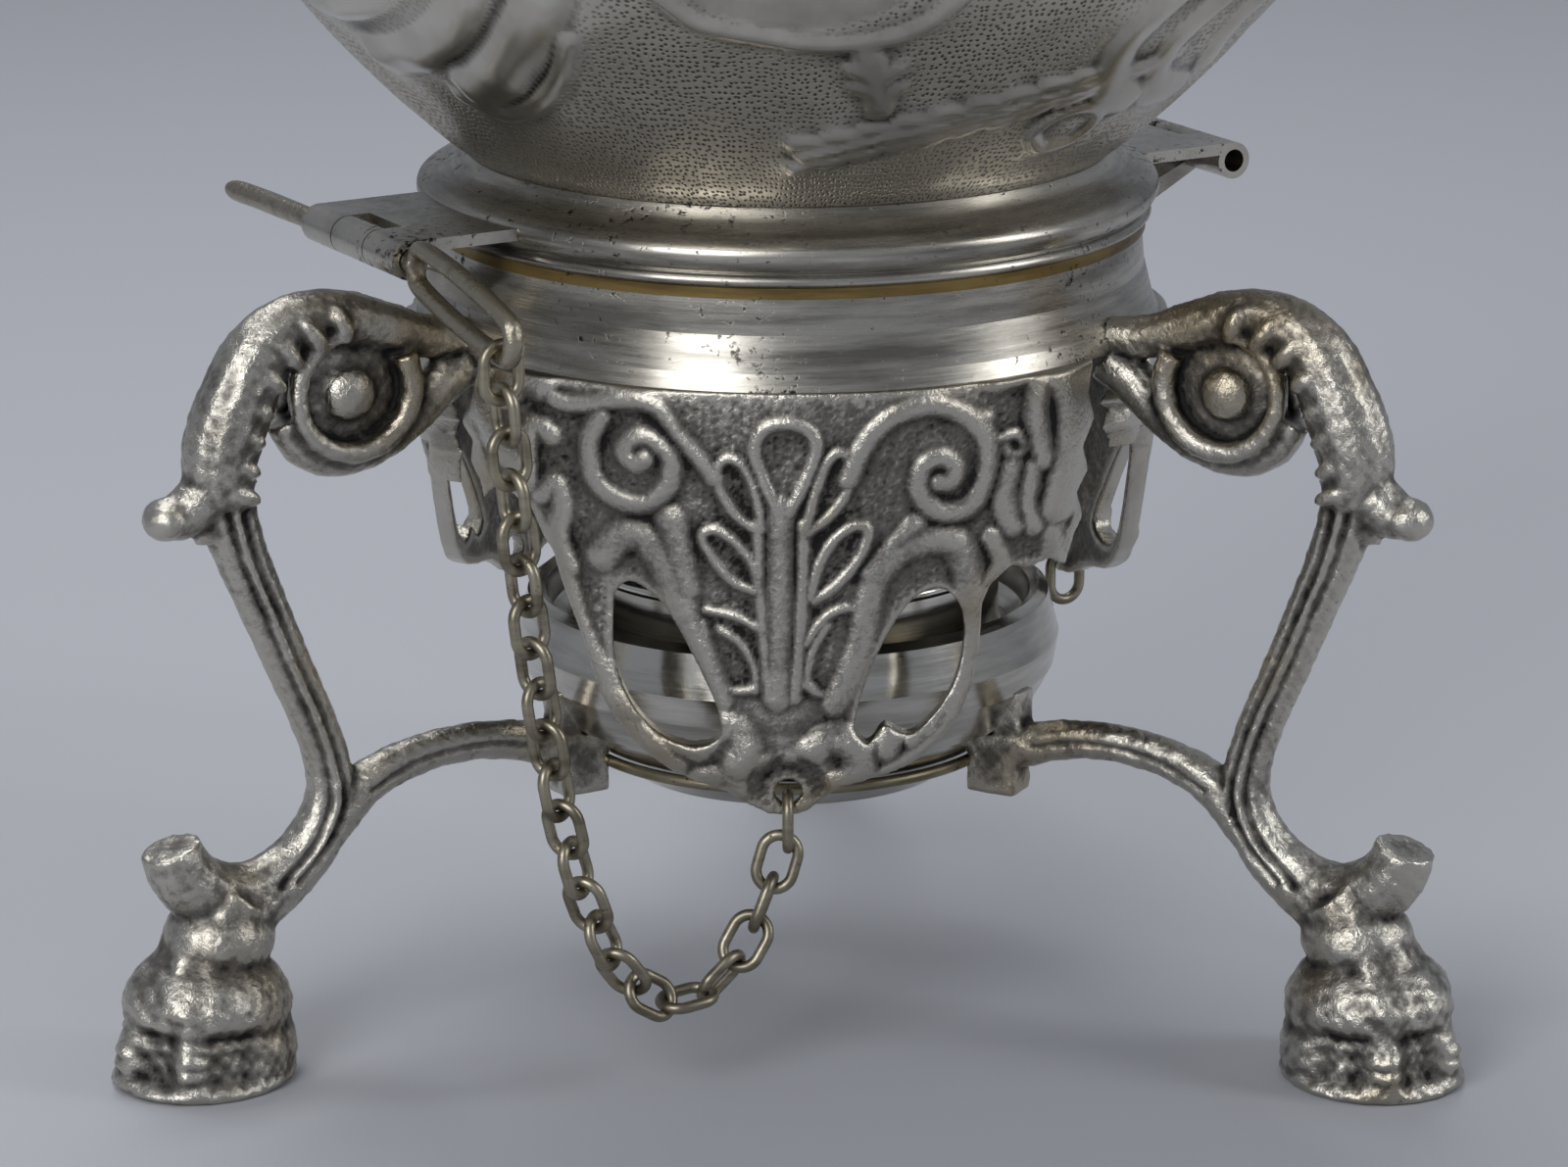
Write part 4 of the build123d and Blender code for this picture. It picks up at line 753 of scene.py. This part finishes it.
def spun_shell(name, path, steps):
    """A shell spun from a path of (radius, height) in mm, with poles and seam closed, at the stand's axis."""
    mesh = bpy.data.meshes.new(name)
    mesh.from_pydata([(stand_x + r / 1000, 0, z / 1000) for r, z in path],
                     [(i, i + 1) for i in range(len(path) - 1)], [])
    piece = bpy.data.objects.new(name, mesh)
    bpy.context.scene.collection.objects.link(piece)
    bpy.ops.object.select_all(action="DESELECT")
    piece.select_set(True)
    bpy.context.view_layer.objects.active = piece
    bpy.ops.object.mode_set(mode="EDIT")
    bpy.ops.mesh.select_all(action="SELECT")
    bpy.ops.mesh.spin(steps=steps, angle=2 * math.pi, center=(stand_x, 0, 0), axis=(0, 0, 1))
    bpy.ops.mesh.select_all(action="SELECT")
    bpy.ops.mesh.remove_doubles(threshold=0.00001)
    bpy.ops.object.mode_set(mode="OBJECT")
    piece.data.shade_smooth()
    return piece


def face_outwards(piece, inward=False):
    """Points the faces of a shell away from the stand's axis, or towards it."""
    mesh = piece.data
    mesh.update()
    tally = sum(p.area * (p.normal.x * (p.center.x - stand_x) + p.normal.y * p.center.y) for p in mesh.polygons)
    if (tally < 0) != inward:
        mesh.flip_normals()


outer_path = ([(0, base_z)] + even_steps([(6, base_z), (neck_r, base_z)], 6)
              + even_steps([(neck_r, base_z), (neck_r, neck_z)], 1.4)[1:]
              + even_steps(smooth_path(side_curve[:5], 12), 0.95)[1:]
              + even_steps(smooth_path(side_curve[3:], 12)[12:], 1.7)[1:]
              + [(mouth_r, 258.0), (mouth_r, rim_z)])
kettle = spun_shell("chased_kettle_body", outer_path, 560)
chasing = [
    (1.5, 1.3, [(-15, 187.5), (-11.5, 184.2), (-2, 181.6), (7.4, 180.5), (16, 182.4), (20.5, 186.4), (24.6, 194),
                (24.6, 206), (20, 217), (11, 225), (0, 228), (-11, 225), (-19, 216), (-22.6, 204), (-20.4, 194),
                (-15, 187.5)]),
    (2.3, 1.2, [(10.4, 179.4), (12, 175.4), (13.2, 171.4), (14, 168.4)]), (1.4, 1.1, [(9, 176), (12, 174)]),
    (1.4, 1.1, [(15.4, 176), (12.6, 173)]), (1.4, 1.0, [(10, 172.6), (13, 170.6)]),
    (1.4, 1.0, [(16.4, 172.4), (13.6, 170)]),
    (1.5, 1.2, [(66, 173), (56, 170.4), (48, 168.4), (40, 166.8), (31, 165.2), (24, 163.6), (18, 162)]),
    (1.0, 1.5, [(60, 172.6), (50, 170.2), (38, 167.6), (26, 165.2), (12, 162), (2, 159.6)]),
    (4.0, 1.8, [(-31, 189), (-34, 183), (-40, 176), (-47, 170.6), (-52, 168.6)]),
    (3.4, 1.6, [(-40, 191), (-45, 184), (-52, 178), (-62, 173.6), (-72, 172)]),
    (3.0, 1.6, [(-52, 192), (-58, 186), (-68, 181.4), (-80, 180)]),
    (2.0, 1.3, [(-30, 180), (-34, 173), (-41, 167), (-50, 164.4), (-57, 166.6)]),
    (2.8, 1.5, [(-26, 192), (-32, 200), (-36, 210), (-33, 220), (-26, 226)]),
    (2.8, 1.5, [(-42, 196), (-48, 206), (-46, 217), (-38, 225), (-30, 230)]),
    (2.4, 1.3, [(-60, 192), (-66, 202), (-62, 214), (-52, 222)]),
    (3.4, 1.7, [(60, 190), (54, 183), (51, 176), (54, 169), (61, 165.4)]),
    (3.0, 1.6, [(70, 186), (64, 179.6), (62, 173), (66, 167), (75, 165)]),
    (2.6, 1.5, [(82, 184), (76, 177), (78, 170)]),
    (1.4, 1.2, [(44, 160.6), (49, 157.4), (56, 158), (58, 162), (53, 165), (47, 164), (44, 160.6)]),
    (2.8, 1.5, [(30, 192), (36, 200), (40, 211), (36, 221), (28, 228)]),
    (2.8, 1.5, [(48, 194), (53, 204), (51, 216), (43, 225), (33, 231)]),
    (2.4, 1.3, [(66, 192), (71, 203), (66, 216)]),
    (1.6, 1.3, [(-90, 236), (-60, 232), (-36, 236), (-12, 233), (12, 236), (36, 233), (60, 236), (90, 233)]),
]
for step in range(9):
    stem_x, stem_z = 4 + 5.6 * step, 160.2 + 1.22 * step
    for side in (-1, 1):
        chasing.append((1.5, 1.2, [(stem_x + 3.4, stem_z + 0.8), (stem_x + 0.4, stem_z + side * 1.9),
                                   (stem_x - 3.2, stem_z + side * 2.5 - 0.8)]))
chasing = [(half, height, smooth_path(path, 4)) for half, height, path in chasing]
points = read_points(kettle.data)
turn = numpy.arctan2(points[:, 1], points[:, 0] - stand_x) - math.radians(240)
turn = (turn + math.pi / 2) % math.pi - math.pi / 2
flat = numpy.column_stack((turn * 0.075, points[:, 2]))
lobes = raised_height(flat, chasing)
plain = numpy.zeros(len(points))
oval = ((flat[:, 0] * 1000 - 1.5) / 22.5) ** 2 + ((flat[:, 1] * 1000 - 204.5) / 22.5) ** 2
plain = numpy.clip((1.05 - oval) * 6, 0, 1)
normals = numpy.empty(len(points) * 3)
kettle.data.vertex_normals.foreach_get("vector", normals)
normals = normals.reshape(-1, 3)
outwards = (normals[:, 0] * (points[:, 0] - stand_x) + normals[:, 1] * points[:, 1]).sum() > 0
wavy = 0.00012 * numpy.sin(flat[:, 0] * 420 + 2 * numpy.sin(flat[:, 1] * 260)) * (points[:, 2] > 0.15)
move = (lobes * 1.05 + wavy) * (points[:, 2] < 0.25) * numpy.clip((points[:, 2] - 0.147) / 0.004, 0, 1)
write_points(kettle.data, points + normals * (move if outwards else -move)[:, None])
face_outwards(kettle)
store_recess(kettle, 8, 0.0006)
smooth_parts = numpy.clip(numpy.maximum(lobes / 0.0006, plain), 0, 1)
smooth_parts = numpy.where((points[:, 2] > 0.2405) | (points[:, 2] < 0.1475), 1.0, smooth_parts)
kettle.data.attributes.new("polished", "FLOAT", "POINT").data.foreach_set("value", smooth_parts)
uv_map = kettle.data.uv_layers.new(name="punch_rows")
corner_vertex = numpy.empty(len(kettle.data.loops), int)
kettle.data.loops.foreach_get("vertex_index", corner_vertex)
angle_all = numpy.arctan2(points[:, 1], points[:, 0] - stand_x)
face_of_corner = numpy.repeat(numpy.arange(len(kettle.data.polygons)), [p.loop_total for p in kettle.data.polygons])
corner_angle = angle_all[corner_vertex]
first_corner = numpy.array([p.loop_start for p in kettle.data.polygons])[face_of_corner]
corner_angle = corner_angle + 2 * math.pi * numpy.round((corner_angle[first_corner] - corner_angle) / (2 * math.pi))
uv_points = numpy.column_stack((corner_angle * 0.078, points[corner_vertex, 2] * 1.35))
uv_map.data.foreach_set("uv", uv_points.ravel())

chased_plate, tree, output = new_material("chased and punched silver plate")
place = add_node(tree, "ShaderNodeTexCoord")
rows = add_node(tree, "ShaderNodeUVMap", {"uv_map": "punch_rows"}).outputs[0]
polished = add_node(tree, "ShaderNodeAttribute", {"attribute_name": "polished"}).outputs["Fac"]
recess = add_node(tree, "ShaderNodeAttribute", {"attribute_name": "recess"}).outputs["Fac"]
bend = add_node(tree, "ShaderNodeTexNoise", Vector=rows, Scale=120, Detail=2)
bent = add_node(tree, "ShaderNodeVectorMath", {"operation": "MULTIPLY_ADD"}, i0=bend.outputs["Color"],
                i1=(0.0022, 0.0022, 0), i2=rows)
# The punch leaves round dots about 1 mm apart, in rows that wander as the smith turned the kettle.
dots = add_node(tree, "ShaderNodeTexVoronoi", {"voronoi_dimensions": "2D"},
                Vector=add_node(tree, "ShaderNodeMapping", Vector=bent.outputs[0], Scale=(1, 0.82, 1)).outputs[0],
                Scale=1 / 0.00105, Randomness=0.6)
pit = add_node(tree, "ShaderNodeMapRange", Value=dots.outputs["Distance"], i1=0.08, i2=0.36)
matted = add_node(tree, "ShaderNodeMath", {"operation": "SUBTRACT", "use_clamp": True}, i0=1.0, i1=polished)
clouds = add_node(tree, "ShaderNodeTexNoise", Vector=place.outputs["Object"], Scale=30, Detail=5, Roughness=0.6)
ground = add_node(tree, "ShaderNodeMix", {"data_type": "RGBA"}, i0=pit.outputs[0], i6=hex_colour("#2c2824"),
                  i7=hex_colour("#b9b3a7"))
raised = ramp_stops(add_node(tree, "ShaderNodeValToRGB", Fac=clouds.outputs["Fac"]),
                    [(0.36, "#a19c92"), (0.62, "#cdc9c0")])
colour = add_node(tree, "ShaderNodeMix", {"data_type": "RGBA"}, i0=matted.outputs[0], i6=raised, i7=ground.outputs[2])
edge = add_node(tree, "ShaderNodeMapRange", Value=recess, i1=0.56, i2=0.8, i3=0.0, i4=0.85)
colour = add_node(tree, "ShaderNodeMix", {"data_type": "RGBA"}, i0=edge.outputs[0], i6=colour.outputs[2],
                  i7=hex_colour("#1a1714"))
warm = add_node(tree, "ShaderNodeTexNoise", Vector=place.outputs["Object"], Scale=14, Detail=2)
warmth = add_node(tree, "ShaderNodeMapRange", Value=warm.outputs["Fac"], i1=0.5, i2=0.75, i3=0.0, i4=0.35)
colour = add_node(tree, "ShaderNodeMix", {"data_type": "RGBA", "blend_type": "MULTIPLY"}, i0=warmth.outputs[0],
                  i6=colour.outputs[2], i7=hex_colour("#bfa878"))
rough = add_node(tree, "ShaderNodeMath", {"operation": "MULTIPLY_ADD"}, i0=matted.outputs[0], i1=0.12, i2=0.2)
rough = add_node(tree, "ShaderNodeMath", {"operation": "MULTIPLY_ADD"}, i0=clouds.outputs["Fac"], i1=0.1,
                 i2=rough.outputs[0])
punch = add_node(tree, "ShaderNodeMath", {"operation": "MULTIPLY"}, i0=pit.outputs[0], i1=matted.outputs[0])
height = add_node(tree, "ShaderNodeMath", {"operation": "MULTIPLY_ADD"}, i0=clouds.outputs["Fac"], i1=0.6,
                  i2=punch.outputs[0])
bump = add_node(tree, "ShaderNodeBump", Height=height.outputs[0], Strength=0.6, Distance=0.0004)
metal = add_node(tree, "ShaderNodeBsdfPrincipled", Base_Color=colour.outputs[2], Metallic=1.0,
                 Roughness=rough.outputs[0], Normal=bump.outputs[0])
tree.links.new(metal.outputs[0], output.inputs[0])
kettle.data.materials.append(chased_plate)

inner_side = [(r - wall * 0.9, z + 0.3) for r, z in side_curve]
inner_side[0] = (neck_r - wall, neck_z + 0.6)
inner_side[-1] = (mouth_r - wall, 255.4)
inner_path = ([(0, base_z + wall), (20, base_z + wall), (neck_r - wall, base_z + wall)]
              + even_steps(smooth_path(inner_side, 8), 4) + [(mouth_r - wall, rim_z), (mouth_r, rim_z)])
lining = spun_shell("tinned_kettle_inside", inner_path, 96)
face_outwards(lining, inward=True)
tinned = plate_material("tinned inside with limescale", "#a8a49b", "#7e7a70", "#cfc8b4", 0.45, 0.003, 0.5)
lining.data.materials.append(tinned)
for piece in (kettle, lining):
    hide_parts("kettle_body")
    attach(piece, "kettle")


# Base collar and spout: the collar is spun from silver plated brass, with a hollow neck, a rounded rim and a fine
# lip that sits on the stand. The spout is cast and filed smooth, so no marks run round it.
collar_path = ([(55.2, 135.8), (60.8, 135.8)]
               + smooth_path([(60.8, 135.8), (61.7, 136.5), (61.6, 137.4), (60.9, 138.1)], 5)
               + smooth_path([(60.9, 138.1), (62.0, 138.9), (63.0, 140.6), (62.7, 142.4), (61.0, 143.7),
                              (58.6, 144.5), (56.4, 145.8), (54.9, 147.9)], 6)
               + [(53.4, 147.2), (52.0, 145.4), (51.0, 143.0), (55.2, 138.8), (55.2, 135.8)])
collar = spun_shell("kettle_base_collar", collar_path, 192)
face_outwards(collar)
collar.data.materials.append(spun_silver_plate)
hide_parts("kettle_flange")
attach(collar, "kettle")
dress("spout", flat_silver_plate)


# Handle: two cast and plated arms carry a grip of turned wood, stained black, between two discs of bone that keep
# the heat of the metal from the hand.
ebonised, tree, output = new_material("polished black stained wood")
place = add_node(tree, "ShaderNodeTexCoord").outputs["Object"]
along = add_node(tree, "ShaderNodeMapping", Vector=place, Scale=(1, 14, 14)).outputs[0]
grain = add_node(tree, "ShaderNodeTexNoise", Vector=along, Scale=90, Detail=6, Roughness=0.65)
stain = ramp_stops(add_node(tree, "ShaderNodeValToRGB", Fac=grain.outputs["Fac"]),
                   [(0.35, "#0d0a08"), (0.58, "#1d1611"), (0.72, "#3a2a1e")])
rough = add_node(tree, "ShaderNodeMapRange", Value=grain.outputs["Fac"], i1=0.3, i2=0.8, i3=0.22, i4=0.42)
bump = add_node(tree, "ShaderNodeBump", Height=grain.outputs["Fac"], Strength=0.25, Distance=0.0003)
wood = add_node(tree, "ShaderNodeBsdfPrincipled", Base_Color=stain, Roughness=rough.outputs[0],
                Normal=bump.outputs[0])
tree.links.new(wood.outputs[0], output.inputs[0])
dress("handle_grip", ebonised)
bone, tree, output = new_material("polished bone")
place = add_node(tree, "ShaderNodeTexCoord").outputs["Object"]
pores = add_node(tree, "ShaderNodeTexNoise", Scale=420, Detail=4,
                 Vector=add_node(tree, "ShaderNodeMapping", Vector=place, Scale=(0.25, 1, 1)).outputs[0])
cream = ramp_stops(add_node(tree, "ShaderNodeValToRGB", Fac=pores.outputs["Fac"]),
                   [(0.4, "#d9cda8"), (0.62, "#e6dcc0"), (0.74, "#8c7a54")])
bump = add_node(tree, "ShaderNodeBump", Height=pores.outputs["Fac"], Strength=0.2, Distance=0.0002)
disc = add_node(tree, "ShaderNodeBsdfPrincipled", Base_Color=cream, Roughness=0.36, Normal=bump.outputs[0])
disc.inputs["Subsurface Weight"].default_value = 0.12
disc.inputs["Subsurface Scale"].default_value = 0.001
tree.links.new(disc.outputs[0], output.inputs[0])
for node in ("insulator_front", "insulator_rear"):
    dress(node, bone)


bpy.context.view_layer.update()
